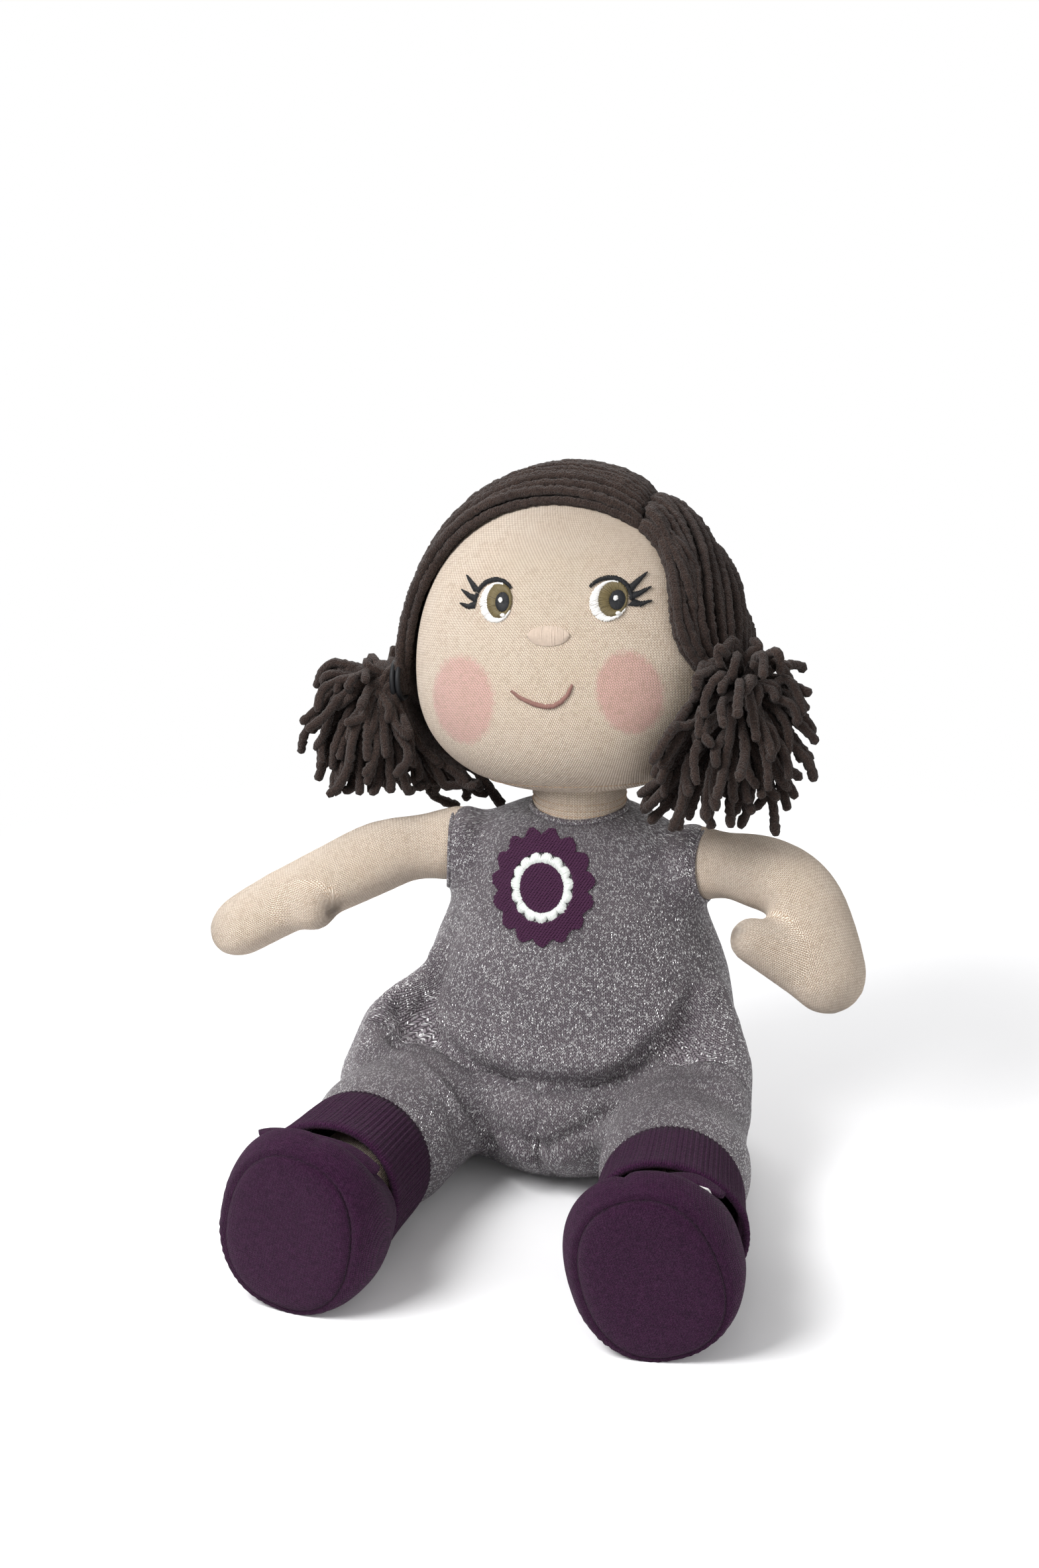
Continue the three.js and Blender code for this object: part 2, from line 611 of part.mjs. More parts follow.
// Arms that end in a mitten
for (const [name, side] of Object.entries(sides)) {
  const pivot = shoulderAt(side);
  const fromShoulder = (point) => V(...pivot).add(V(...point));
  const points = ARM_PATH[name].map(fromShoulder);
  const outward = points[0].clone().sub(V(...pivot)).normalize();
  const start = V(...pivot).addScaledVector(outward, -ARM_BALL);
  const path = new THREE.CatmullRomCurve3([start, V(...pivot), ...points]);
  const arm = limbForm({
    path,
    rows: [
      [0, ARM_BALL, ARM_BALL],
      [0.12, ARM_BALL, ARM_BALL],
      [0.25, ARM_ROOT, ARM_ROOT],
      [0.4, ARM_RADIUS, ARM_RADIUS],
      [0.65, HAND_WIDTH / 2, 0.9 * ARM_RADIUS],
      [0.85, HAND_WIDTH / 2, HAND_THICK / 2],
      [1, 0.45 * HAND_WIDTH, 0.45 * HAND_THICK],
    ],
    startCap: ARM_BALL,
    endCap: ARM_RADIUS,
    sides: 10,
    count: 5,
  });
  const [thumbRoot, thumbTip] = THUMB_PATH[name].map((point) => fromShoulder(point).toArray());
  const [rootRadius, tipRadius] = THUMB[name];
  const thumb = taper(rootRadius, tipRadius, thumbRoot, thumbTip, 10)
    .add(ball(rootRadius, thumbRoot, 10))
    .add(ball(tipRadius, thumbTip, 10));

  // The knot sits at the pivot, and the arm's sewn end is open round its shank, which swings in a cone
  const shankLength = ARM_BALL + SWING_GAP - GAP;
  const shankEnd = V(...pivot).addScaledVector(outward, -shankLength + 1).toArray();
  const mouth = V(...pivot).addScaledVector(outward, -shankLength - 2).toArray();
  const mouthRadius = SHANK_RADIUS + GAP + (shankLength + 2) * Math.tan(ARM_LIFT);
  const opening = ball(KNOT_RADIUS + GAP, pivot, 12).add(taper(KNOT_RADIUS, mouthRadius, pivot, mouth, 12));
  const inside = new Form(arm.point, 8, arm.levels);
  const skin = arm.solid().add(thumb).subtract(inside.solid(-KNIT)).subtract(opening);
  mesh(doll, `arm_${name}_skin`, skin, "skin");
  mesh(doll, `arm_${name}_filling`, inside.solid(-KNIT - GAP).subtract(opening), "stuffing");
  const knot = ball(KNOT_RADIUS, pivot, 10).add(rod(SHANK_RADIUS, pivot, shankEnd, 8));
  mesh(doll, `arm_${name}_gathering`, knot, "skin");
}

// Legs, trousers, cuffs and shoes, each in its leg's own frame
for (const [name, side] of Object.entries(sides)) {
  const leg = group(doll, hipAt(side), [0, 0, side * LEG_SPLAY[name]]);
  const straight = new THREE.LineCurve3(V(0, LEG_BALL, 0), V(0, -LEG_LENGTH, 0));
  const shareAt = (distance) => (LEG_BALL + distance) / (LEG_BALL + LEG_LENGTH);
  const legForm = limbForm({
    path: straight,
    rows: [
      [0, LEG_BALL, LEG_BALL],
      [shareAt(0), LEG_BALL, LEG_BALL],
      [shareAt(0.35 * LEG_LENGTH), 1.03 * LEG_RADIUS, 1.03 * LEG_RADIUS],
      [shareAt(0.7 * LEG_LENGTH), 0.95 * LEG_RADIUS, 0.95 * LEG_RADIUS],
      [1, LEG_RADIUS, LEG_RADIUS],
    ],
    startCap: LEG_BALL,
    endCap: 0.6 * LEG_RADIUS,
    sides: 12,
    count: 2,
  });
  const sewnHole = rod(0.4 * LEG_BALL, [0, 0, 0], [0, 2 * LEG_BALL, 0], 14);
  mesh(leg, `leg_${name}_skin`, legForm.solid().subtract(legForm.solid(-KNIT)).subtract(sewnHole), "skin");
  mesh(leg, `leg_${name}_filling`, legForm.solid(-KNIT - GAP), "stuffing");

  // Trouser leg: close round the hip ball, full at the knee, fuller to the outside
  const drift = TROUSER_DRIFT[name];
  const trouserPath = new THREE.CatmullRomCurve3([
    V(0, TROUSER_ROOT, 0),
    V(0, 0, 0),
    V(0, -0.42 * TROUSER_LENGTH, 0),
    V(0.8 * drift, -0.74 * TROUSER_LENGTH, TROUSER_LIFT),
    V(drift, -TROUSER_LENGTH, TROUSER_LIFT),
    V(drift, -TROUSER_LENGTH - 20, TROUSER_LIFT),
  ]);
  const trouserSpan = trouserPath.getLength();
  const trouserShare = (part) => (TROUSER_ROOT + part * TROUSER_LENGTH) / trouserSpan;
  const trouserForm = limbForm({
    path: trouserPath,
    rows: [
      [0, TROUSER_ROOT, TROUSER_ROOT],
      [trouserShare(0), TROUSER_ROOT, TROUSER_ROOT],
      [trouserShare(0.25), TROUSER_ROOT, TROUSER_ROOT],
      [trouserShare(0.45), TROUSER_ROOT, TROUSER_ROOT],
      [trouserShare(0.75), TROUSER_FULLNESS, 0.95 * TROUSER_FULLNESS],
      [trouserShare(1), 1.03 * CUFF_RADIUS, CUFF_RADIUS],
      [1, CUFF_RADIUS, CUFF_RADIUS],
    ],
    startCap: TROUSER_ROOT,
    endCap: 5,
    sides: 14,
    count: 5,
    capSteps: [0.05, 0.2, 0.45, 0.75],
  });
  const hem = block([-FAR, -FAR, -FAR], [FAR, -TROUSER_LENGTH, FAR]);
  const ground = block([-FAR, -FAR, -FAR], [FAR, FAR, GAP - HIP_HEIGHT]);
  const trouser = trouserForm
    .solid()
    .subtract(trouserForm.solid(-CLOTH))
    .subtract(hem)
    .subtract(ground)
    .subtract(sewnHole);
  mesh(leg, `romper_leg_${name}`, trouser, "romper");

  // Ribbed cuff: a loose band that flares to its free edge
  const cuffEnd = -TROUSER_LENGTH - CUFF_LENGTH;
  const cuff = ringOnY([
    [CUFF_RADIUS - CUFF_WALL, -TROUSER_LENGTH - GAP],
    [CUFF_RADIUS - CUFF_WALL + 1, cuffEnd],
    [CUFF_RADIUS + 1, cuffEnd],
    [CUFF_RADIUS, -TROUSER_LENGTH - GAP],
  ]).translate([drift, 0, TROUSER_LIFT]);
  mesh(leg, `cuff_${name}`, cuff.subtract(ground), "cuff");

  // Shoe: rows of [distance behind the sole's face, top, bottom, half width]
  const roll = -side * FOOT_ROLL[name];
  const soleFace = -LEG_LENGTH - SOLE_THICK - 2 * GAP;
  const shoe = group(leg, [0, soleFace, 0], [0, THREE.MathUtils.degToRad(roll), 0]);
  const half = SHOE_WIDTH / 2;
  const midHeight = 0.08 * SHOE_TOE;
  const section = ([behind, top, bottom, width], turn) => {
    const square = 2 / 2.3;
    const c = Math.cos(turn);
    const s = Math.sin(turn);
    const tall = s > 0 ? top - midHeight : midHeight - bottom;
    return V(
      width * Math.sign(c) * Math.abs(c) ** square,
      behind,
      midHeight + tall * Math.sign(s) * Math.abs(s) ** square,
    );
  };
  const upperRows = [
    [SOLE_THICK + GAP, 0.93 * SHOE_TOE, -0.97 * SHOE_HEEL, 0.9 * half],
    [SOLE_THICK + GAP + 0.13 * SHOE_DEPTH, 0.99 * SHOE_TOE, -SHOE_HEEL, 0.97 * half],
    [0.38 * SHOE_DEPTH, SHOE_TOE, -SHOE_HEEL, half],
    [0.6 * SHOE_DEPTH, 0.84 * SHOE_TOE, -SHOE_HEEL, half],
    [0.82 * SHOE_DEPTH, 0.65 * SHOE_TOE, -0.98 * SHOE_HEEL, 0.95 * half],
    [SHOE_DEPTH, 0.58 * SHOE_TOE, -0.94 * SHOE_HEEL, 0.89 * half],
  ];
  const loft = (rows, count) => {
    const read = smoothRows(rows);
    const first = rows[0][0];
    const last = rows.at(-1)[0];
    const point = (u, v) => {
      const turn = -2 * Math.PI * u;
      if (v === 0) return V(0, first, midHeight);
      if (v === 1) return V(0, last, midHeight);
      return section(read((v - 0.02) / 0.96), turn);
    };
    const levels = Array.from({ length: count }, (_, i) => 0.02 + (0.96 * i) / (count - 1));
    return new Form(point, 18, levels);
  };
  const upperForm = loft(upperRows, 6);
  const shoeFloor = block([-FAR, -FAR, -FAR], [FAR, FAR, -HIP_HEIGHT]).rotate([0, -roll, 0]);
  const footRoom = rod(LEG_RADIUS + GAP, [0, SOLE_THICK, 0], [0, FAR, 0], 18);
  const upper = upperForm.solid().subtract(footRoom).subtract(shoeFloor);
  mesh(shoe, `shoe_${name}_upper`, upper, "plum");
  const soleForm = loft(
    [
      [0, 0.87 * SHOE_TOE, -0.9 * SHOE_HEEL, 0.84 * half],
      [0.4 * SOLE_THICK, 0.91 * SHOE_TOE, -0.95 * SHOE_HEEL, 0.88 * half],
      [SOLE_THICK, 0.93 * SHOE_TOE, -0.97 * SHOE_HEEL, 0.9 * half],
    ],
    3,
  );
  mesh(shoe, `shoe_${name}_sole`, soleForm.solid().subtract(shoeFloor), "plum");

  // Strap: sewn to the inner side, over the instep
  const strapY = SHOE_DEPTH - 0.5 * (STRAP_WIDTH + STRAP_THICK);
  const rest = section([strapY, 0.62 * SHOE_TOE, -SHOE_HEEL, 0.92 * half], 0.3 * Math.PI);
  const rim = 0.64 * SHOE_TOE + GAP + STRAP_THICK / 2;
  const strapLine = [
    [-side * (rest.x + GAP), rest.z + GAP + STRAP_THICK],
    [-side * 0.5 * rest.x, rim],
    [0, rim + 0.3 * STRAP_THICK],
    [side * 0.5 * STRAP_REACH, rim - STRAP_THICK],
    [side * STRAP_REACH * STRAP_SPAN[name], rim - STRAP_DROP[name]],
  ];
  const strap = alongY(
    bandAlong(strapLine, STRAP_THICK / 2, 10, 1),
    strapY - STRAP_WIDTH / 2,
    strapY + STRAP_WIDTH / 2,
  );
  // Hook-and-loop: the loop patch on the outer side of the upper
  const patchSpot = section([0.82 * SHOE_DEPTH, 0.65 * SHOE_TOE, -SHOE_HEEL, 0.95 * half], 0.27 * Math.PI);
  const patchBox = block(
    [side * patchSpot.x - TAPE / 2, 0.82 * SHOE_DEPTH - TAPE / 2, patchSpot.z - TAPE / 2],
    [side * patchSpot.x + TAPE / 2, 0.82 * SHOE_DEPTH + TAPE / 2 - 1, patchSpot.z + TAPE / 2],
  );
  const loop = upperForm.solid(GAP + TAPE_THICK).subtract(upperForm.solid(GAP)).intersect(patchBox);
  mesh(shoe, `strap_patch_${name}`, loop, "white");
  mesh(shoe, `strap_${name}`, strap.subtract(upperForm.solid(2 * GAP + TAPE_THICK)), "plum");
}

export default doll;
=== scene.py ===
# %% [markdown]
# A soft doll sits on a pale floor: knitted skin stuffed with fibre, a baggy glitter-knit romper,
# felted shoes and a head of chenille yarn tied in two bunches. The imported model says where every
# piece is. This script gives each of them its cloth, its stitches and its folds.

import json
import math
import random

import bmesh
import bpy
import numpy as np
from mathutils import Matrix, Vector
from mathutils.bvhtree import BVHTree


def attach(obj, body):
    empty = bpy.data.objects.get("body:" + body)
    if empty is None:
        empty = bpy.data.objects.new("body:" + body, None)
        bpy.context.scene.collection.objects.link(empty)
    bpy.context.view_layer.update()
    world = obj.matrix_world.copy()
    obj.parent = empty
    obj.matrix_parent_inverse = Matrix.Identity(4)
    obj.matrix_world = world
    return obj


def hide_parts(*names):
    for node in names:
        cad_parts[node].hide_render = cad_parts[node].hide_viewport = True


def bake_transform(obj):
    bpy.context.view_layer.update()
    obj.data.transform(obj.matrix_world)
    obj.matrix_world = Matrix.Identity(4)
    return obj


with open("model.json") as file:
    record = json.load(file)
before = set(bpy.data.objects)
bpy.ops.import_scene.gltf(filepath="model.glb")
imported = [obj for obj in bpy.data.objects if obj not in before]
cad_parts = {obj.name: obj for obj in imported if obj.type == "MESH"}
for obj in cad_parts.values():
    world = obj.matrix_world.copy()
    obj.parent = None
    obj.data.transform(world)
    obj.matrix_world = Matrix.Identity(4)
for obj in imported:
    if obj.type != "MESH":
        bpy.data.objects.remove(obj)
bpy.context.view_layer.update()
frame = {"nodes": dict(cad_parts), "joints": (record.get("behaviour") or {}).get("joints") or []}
MM = 0.001


def add_object(name, data):
    """An object with that data, put in the scene."""
    made = bpy.data.objects.new(name, data)
    bpy.context.scene.collection.objects.link(made)
    return made


# %% [markdown]
# The photograph looks down at the doll from a little above its head and to its left. A long lens
# a step away keeps the big head from swelling. The camera is placed and aimed in the doll's own
# millimetres, so nothing depends on the picture's pixels.

# %% Camera
CAMERA_AT = Vector((184.7, -834.8, 422.2)) * MM
CAMERA_AIM = Vector((-22.4, -4.2, 144.1)) * MM
CAMERA_LENS = 54.75

camera_data = bpy.data.cameras.new("camera")
camera_data.lens = CAMERA_LENS
camera_data.clip_start = 0.01
camera = add_object("camera", camera_data)
camera.location = CAMERA_AT
camera.rotation_euler = (CAMERA_AIM - CAMERA_AT).to_track_quat("-Z", "Y").to_euler()
bpy.context.scene.camera = camera
print("camera stands", round((CAMERA_AIM - CAMERA_AT).length / MM), "mm from the doll")

# %% [markdown]
# Cloth is a matter of small shadows, so the light is a wide soft key from the upper left, a
# weaker fill from the right, and a pale room all round. The floor is matt and white. What the
# lens sees of the floor and the room is lifted to white, while the doll's own light stays plain.

# %% Helpers for materials
def linear(code):
    """A colour written as sRGB hex, as Blender's linear RGBA."""
    channels = [int(code[i : i + 2], 16) / 255 for i in (1, 3, 5)]
    return [c / 12.92 if c <= 0.04045 else ((c + 0.055) / 1.055) ** 2.4 for c in channels] + [1.0]


def node(tree, kind, inputs=None, **settings):
    """Adds a node with its settings. An input is a value, or the socket that feeds it."""
    made = tree.nodes.new(kind)
    for name, value in settings.items():
        setattr(made, name, value)
    for name, value in (inputs or {}).items():
        if isinstance(value, bpy.types.NodeSocket):
            tree.links.new(value, made.inputs[name])
        else:
            made.inputs[name].default_value = value
    return made


def new_material(name):
    """An empty node material and its tree."""
    made = bpy.data.materials.new(name)
    made.use_nodes = True
    made.node_tree.nodes.clear()
    return made, made.node_tree


# %% Floor, room and lamps
FLOOR_HALF = 4.0
FLOOR_WHITE = linear("#F4F4F5")
FLOOR_LIFT = 0.01
FLOOR_FADE = (0.24, 0.48)
ROOM_LIGHT = 0.47


def seen_by_lens(tree):
    """1 where the lens, a reflection or a clear piece looks straight at the surface."""
    path = node(tree, "ShaderNodeLightPath")
    rays = {0: path.outputs["Is Camera Ray"], 1: path.outputs["Is Glossy Ray"]}
    glossy = node(tree, "ShaderNodeMath", rays, operation="MAXIMUM")
    every = {0: glossy.outputs[0], 1: path.outputs["Is Transmission Ray"]}
    return node(tree, "ShaderNodeMath", every, operation="MAXIMUM").outputs[0]


def make_floor():
    """A matt white floor at the height that the doll sits on."""
    bm = bmesh.new()
    bmesh.ops.create_grid(bm, x_segments=1, y_segments=1, size=FLOOR_HALF)
    mesh = bpy.data.meshes.new("floor")
    bm.to_mesh(mesh)
    bm.free()
    floor = add_object("floor", mesh)
    matt, tree = new_material("matt_white_floor")
    paint = node(tree, "ShaderNodeBsdfDiffuse", {"Color": FLOOR_WHITE})
    lift = node(tree, "ShaderNodeMath", {0: seen_by_lens(tree), 1: FLOOR_LIFT}, operation="MULTIPLY")
    glow = node(tree, "ShaderNodeEmission", {"Strength": lift.outputs[0]})
    near = node(tree, "ShaderNodeAddShader", {0: paint.outputs[0], 1: glow.outputs[0]})
    spot = node(tree, "ShaderNodeTexCoord")
    away = node(tree, "ShaderNodeVectorMath", {0: spot.outputs["Object"]}, operation="LENGTH")
    reach = {"Value": away.outputs["Value"], "From Min": FLOOR_FADE[0], "From Max": FLOOR_FADE[1]}
    fade = node(tree, "ShaderNodeMapRange", reach, interpolation_type="SMOOTHSTEP")
    far = node(tree, "ShaderNodeEmission", {"Strength": seen_by_lens(tree)})
    both = {0: fade.outputs[0], 1: near.outputs[0], 2: far.outputs[0]}
    whole = node(tree, "ShaderNodeMixShader", both)
    node(tree, "ShaderNodeOutputMaterial", {"Surface": whole.outputs[0]})
    floor.data.materials.append(matt)


def make_room():
    """A pale room that gives an even light and looks white."""
    world = bpy.data.worlds.new("pale_room")
    world.use_nodes = True
    tree = world.node_tree
    tree.nodes.clear()
    plain_or_white = {"Value": seen_by_lens(tree), "To Min": ROOM_LIGHT, "To Max": 1.0}
    strength = node(tree, "ShaderNodeMapRange", plain_or_white)
    sky = node(tree, "ShaderNodeBackground", {"Strength": strength.outputs[0], "Color": (1, 1, 1, 1)})
    node(tree, "ShaderNodeOutputWorld", {"Surface": sky.outputs[0]})
    bpy.context.scene.world = world


LAMPS = {
    "key": {"at": (-420, -520, 720), "size": 460, "watts": 10.6},
    "fill": {"at": (620, -560, 300), "size": 600, "watts": 2.4},
    "rim": {"at": (-200, 520, 620), "size": 480, "watts": 4.0},
}
LAMP_AIM = Vector((0, 0, 120)) * MM


def make_lamps():
    """Wide square lamps, each turned to the doll's chest."""
    for name, lamp in LAMPS.items():
        data = bpy.data.lights.new(name, "AREA")
        data.size = lamp["size"] * MM
        data.energy = lamp["watts"]
        made = add_object(name, data)
        made.location = Vector(lamp["at"]) * MM
        made.rotation_euler = (LAMP_AIM - made.location).to_track_quat("-Z", "Y").to_euler()


make_floor()
make_room()
make_lamps()
bpy.context.scene.view_settings.view_transform = "Standard"
print("lamps:", ", ".join(LAMPS))

# %% [markdown]
# Nearly every piece is knitted. Stocking stitch shows as upright columns of small Vs, so one
# pattern of Vs, laid in millimetres on each piece, serves the skin, the romper and the shoes. The
# pattern is worked out from two distances: one across the columns and one along them.

# %% Knitted cloth
def mathed(tree, steps):
    """Follows a chain of sums. A step is an operation and its inputs; "last" is the step before."""
    last = None
    for operation, *values in steps:
        inputs = {i: last if isinstance(v, str) else v for i, v in enumerate(values)}
        last = node(tree, "ShaderNodeMath", inputs, operation=operation).outputs[0]
    return last


STITCH_LEAN = 0.9


def stitches(tree, wale, course, crumbs=1.0):
    """The height of the stitches, from 0 in a hole to 1 on a thread, and for each stitch, or for
    each of its crumbs, a number and a round dot. wale and course are a stitch's width and height."""
    laid = node(tree, "ShaderNodeUVMap", uv_map="stitches")
    parts = node(tree, "ShaderNodeSeparateXYZ", {0: laid.outputs[0]})
    column = mathed(tree, [("DIVIDE", parts.outputs[0], wale)])
    row = mathed(tree, [("DIVIDE", parts.outputs[1], course)])
    from_middle = [("FRACT", column), ("SUBTRACT", "last", 0.5), ("ABSOLUTE", "last")]
    leg = mathed(tree, [*from_middle, ("MULTIPLY", "last", 2.0)])
    slanted = mathed(tree, [("MULTIPLY", leg, -STITCH_LEAN), ("ADD", "last", row)])
    thread = mathed(tree, [("FRACT", slanted), ("MULTIPLY", "last", math.pi), ("SINE", "last")])
    side = mathed(tree, [("MULTIPLY", leg, math.pi), ("SINE", "last")])
    height = mathed(tree, [("MULTIPLY", thread, side), ("POWER", "last", 0.7)])
    whole_column = mathed(tree, [("MULTIPLY", column, crumbs), ("FLOOR", "last")])
    whole_row = mathed(tree, [("MULTIPLY", slanted, crumbs), ("FLOOR", "last")])
    cell = node(tree, "ShaderNodeCombineXYZ", {0: whole_column, 1: whole_row})
    chance = node(tree, "ShaderNodeTexWhiteNoise", {0: cell.outputs[0]}, noise_dimensions="2D")
    humps = [
        mathed(tree, [("MULTIPLY", way, crumbs * math.pi), ("SINE", "last"), ("ABSOLUTE", "last")])
        for way in (column, slanted)
    ]
    return height, chance.outputs["Value"], mathed(tree, [("MULTIPLY", *humps)])


def blotches(tree, size, low, high, detail=2.0):
    """Soft patches of about that many millimetres, as a factor from low to high."""
    where = node(tree, "ShaderNodeTexCoord")
    grain = {"Vector": where.outputs["Object"], "Scale": 1 / (size * MM), "Detail": detail}
    noise = node(tree, "ShaderNodeTexNoise", grain)
    spread = {"Value": noise.outputs["Fac"], "From Min": 0.3, "From Max": 0.7, "To Min": low, "To Max": high}
    return node(tree, "ShaderNodeMapRange", spread).outputs[0]


def mixed(tree, factor, first, second):
    """Two colours mixed by a factor."""
    return node(tree, "ShaderNodeMix", {0: factor, 6: first, 7: second}, data_type="RGBA").outputs[2]


def surface(tree, colour, height, depth, roughness, sheen=0.0, specular=0.3, metallic=0.0):
    """The cloth's shader: colour, the relief of its threads in millimetres, and its lustre."""
    relief = node(tree, "ShaderNodeBump", {"Strength": 1.0, "Distance": depth * MM, "Height": height})
    finish = {"Base Color": colour, "Roughness": roughness, "Metallic": metallic}
    finish |= {"Specular IOR Level": specular, "Sheen Weight": sheen, "Sheen Roughness": 0.5}
    shader = node(tree, "ShaderNodeBsdfPrincipled", finish | {"Normal": relief.outputs[0]})
    node(tree, "ShaderNodeOutputMaterial", {"Surface": shader.outputs[0]})


def fuzz(tree, height, size, share):
    """Adds the pile of the yarn to a relief: grains of about that many millimetres."""
    return mathed(tree, [("MULTIPLY", blotches(tree, size, 0.0, 1.0), share), ("ADD", "last", height)])


# %% [markdown]
# The doll's skin is a cream cotton jersey: soft, matt, with painted brownish shade in the little
# holes between its threads. On the face it also carries two blushed cheeks, dyed into the cloth
# with ragged edges.

# %% Skin
SKIN_YARN = linear("#FCEFDF")
# painted shade colour for the holes between the threads, also used for random darker stitches
SKIN_HOLE_SHADE_AND_FLECKS = linear("#A88B6F")
BLUSH = linear("#F2BBBB")
SKIN_WALE, SKIN_COURSE = 1.2, 0.95
CHEEKS = [((-33.5, 40.5), (13.6, 16.6), -10), ((29.0, 43.5), (11.2, 15.2), 10)]


def cotton_jersey(name, cheeks=()):
    """Cream jersey. A cheek is its centre and half sizes on the face, in millimetres, and its lean."""
    made, tree = new_material(name)
    height, chance, _ = stitches(tree, SKIN_WALE, SKIN_COURSE)
    yarn = mixed(tree, blotches(tree, 9, 0.0, 0.35), SKIN_YARN, linear("#F0DCC8"))
    for (x, z), (wide, tall), lean in cheeks:
        face = node(tree, "ShaderNodeUVMap", uv_map="face")
        oval = {"Vector": face.outputs[0], "Location": (x, z, 0), "Scale": (wide, tall, 1)}
        oval["Rotation"] = (0, 0, math.radians(lean))
        spot = node(tree, "ShaderNodeMapping", oval, vector_type="TEXTURE")
        reach = node(tree, "ShaderNodeVectorMath", {0: spot.outputs[0]}, operation="LENGTH")
        tatters = ("MULTIPLY", blotches(tree, 1.6, 0.0, 1.0), 0.12)
        ragged = mathed(tree, [tatters, ("ADD", "last", reach.outputs["Value"])])
        edge = {"Value": ragged, "From Min": 1.12, "From Max": 0.96, "To Max": 0.8}
        dyed = node(tree, "ShaderNodeMapRange", edge).outputs[0]
        yarn = mixed(tree, dyed, yarn, BLUSH)
    # painted shade: the holes between the threads are darkened towards the brown colour by stitch height
    lit = {"Value": height, "From Min": 0.08, "From Max": 0.85}
    colour = mixed(tree, node(tree, "ShaderNodeMapRange", lit).outputs[0], SKIN_HOLE_SHADE_AND_FLECKS, yarn)
    # a random share of stitches is also darkened towards that colour, as real tone
    colour = mixed(tree, mathed(tree, [("POWER", chance, 3.0), ("MULTIPLY", "last", 0.3)]), colour, SKIN_HOLE_SHADE_AND_FLECKS)
    surface(tree, colour, fuzz(tree, height, 0.7, 0.35), 0.42, 0.92, sheen=0.2, specular=0.12)
    return made


skin = cotton_jersey("cotton_jersey")
face_skin = cotton_jersey("blushed_cotton_jersey", CHEEKS)
print("materials:", skin.name, face_skin.name)

# %% [markdown]
# The romper's yarn is grey-mauve with a flat metal thread twisted in. Each stitch shows the metal
# or hides it, and where it shows it flashes at its own angle. So every stitch draws a number, and
# the highest numbers turn to bright metal.

# %% Glitter knit
LUREX_YARN = linear("#867D83")
# painted shade colour for the holes between the threads
LUREX_HOLE_SHADE = linear("#242023")
LUREX_METAL = linear("#FFFFFF")
LUREX_WALE, LUREX_COURSE = 1.2, 1.0
LUREX_SHARE = 0.28


def glitter_knit():
    """Grey-mauve stocking stitch with a metal thread."""
    made, tree = new_material("glitter_knit")
    height, chance, dot = stitches(tree, LUREX_WALE, LUREX_COURSE, crumbs=2.2)
    yarn = mixed(tree, blotches(tree, 14, 0.0, 0.7), LUREX_YARN, linear("#6C636B"))
    # painted shade: the holes between the threads darken towards near black by stitch height
    lit = {"Value": height, "From Min": 0.1, "From Max": 0.9}
    colour = mixed(tree, node(tree, "ShaderNodeMapRange", lit).outputs[0], LUREX_HOLE_SHADE, yarn)
    shows = {"Value": chance, "From Min": 1 - LUREX_SHARE, "From Max": 1.0}
    flash = node(tree, "ShaderNodeMapRange", shows).outputs[0]
    metal = mathed(tree, [("POWER", flash, 0.6), ("MULTIPLY", "last", dot), ("MULTIPLY", "last", 1.25)])
    metal = node(tree, "ShaderNodeClamp", {0: metal}).outputs[0]
    colour = mixed(tree, metal, colour, LUREX_METAL)
    tilted = mathed(tree, [("MULTIPLY", flash, 0.4), ("ADD", "last", height)])
    gloss = mathed(tree, [("MULTIPLY", metal, -0.32), ("ADD", "last", 0.55)])
    surface(tree, colour, tilted, 0.34, gloss, sheen=0.08, metallic=metal)
    return made


lurex = glitter_knit()
print("material:", lurex.name)

# %% [markdown]
# Shoes and cuffs are plum cotton fleece and rib. Brushing raises a haze of fibre that catches the
# light at grazing angles, which is what sheen gives. The yarn hair is chenille: a thick cord of
# short pile that looks velvety and drinks the light.

# %% Plum fleece, rib, chenille and felt
# the second colour is painted shade for the stitch hollows, and also the colour of random darker mottling
PLUM, PLUM_SHADE_AND_MOTTLE, PLUM_HAZE = linear("#411C3C"), linear("#200D20"), linear("#63405F")


def plum_cloth(name, wale, course, depth, haze):
    """Plum jersey whose brushed fibre hides the stitches more or less."""
    made, tree = new_material(name)
    height, _, _ = stitches(tree, wale, course)
    # painted shade: the stitch hollows darken towards the deep plum by stitch height
    colour = mixed(tree, node(tree, "ShaderNodeMapRange", {"Value": height}).outputs[0], PLUM_SHADE_AND_MOTTLE, PLUM)
    # random darker mottling in the same deep plum, as real tone
    colour = mixed(tree, blotches(tree, 2.2, 0.0, 0.6, 3.0), colour, PLUM_SHADE_AND_MOTTLE)
    fibre = mathed(tree, [("MULTIPLY", blotches(tree, 0.6, -0.4, 1.0, 4.0), haze)])
    colour = mixed(tree, node(tree, "ShaderNodeClamp", {0: fibre}).outputs[0], colour, PLUM_HAZE)
    surface(tree, colour, fuzz(tree, height, 0.6, 0.6), depth, 0.95, sheen=0.05, specular=0.05)
    return made


def chenille():
    """Dark brown pile cord: velvety, lighter where the pile parts."""
    made, tree = new_material("chenille_yarn")
    grain = blotches(tree, 0.55, 0.0, 1.0, 3.0)
    colour = mixed(tree, grain, linear("#1F1613"), linear("#4A3A33"))
    colour = mixed(tree, blotches(tree, 11, 0.0, 0.55), colour, linear("#2B201D"))
    surface(tree, colour, grain, 0.6, 0.95, sheen=0.12, specular=0.1)
    return made


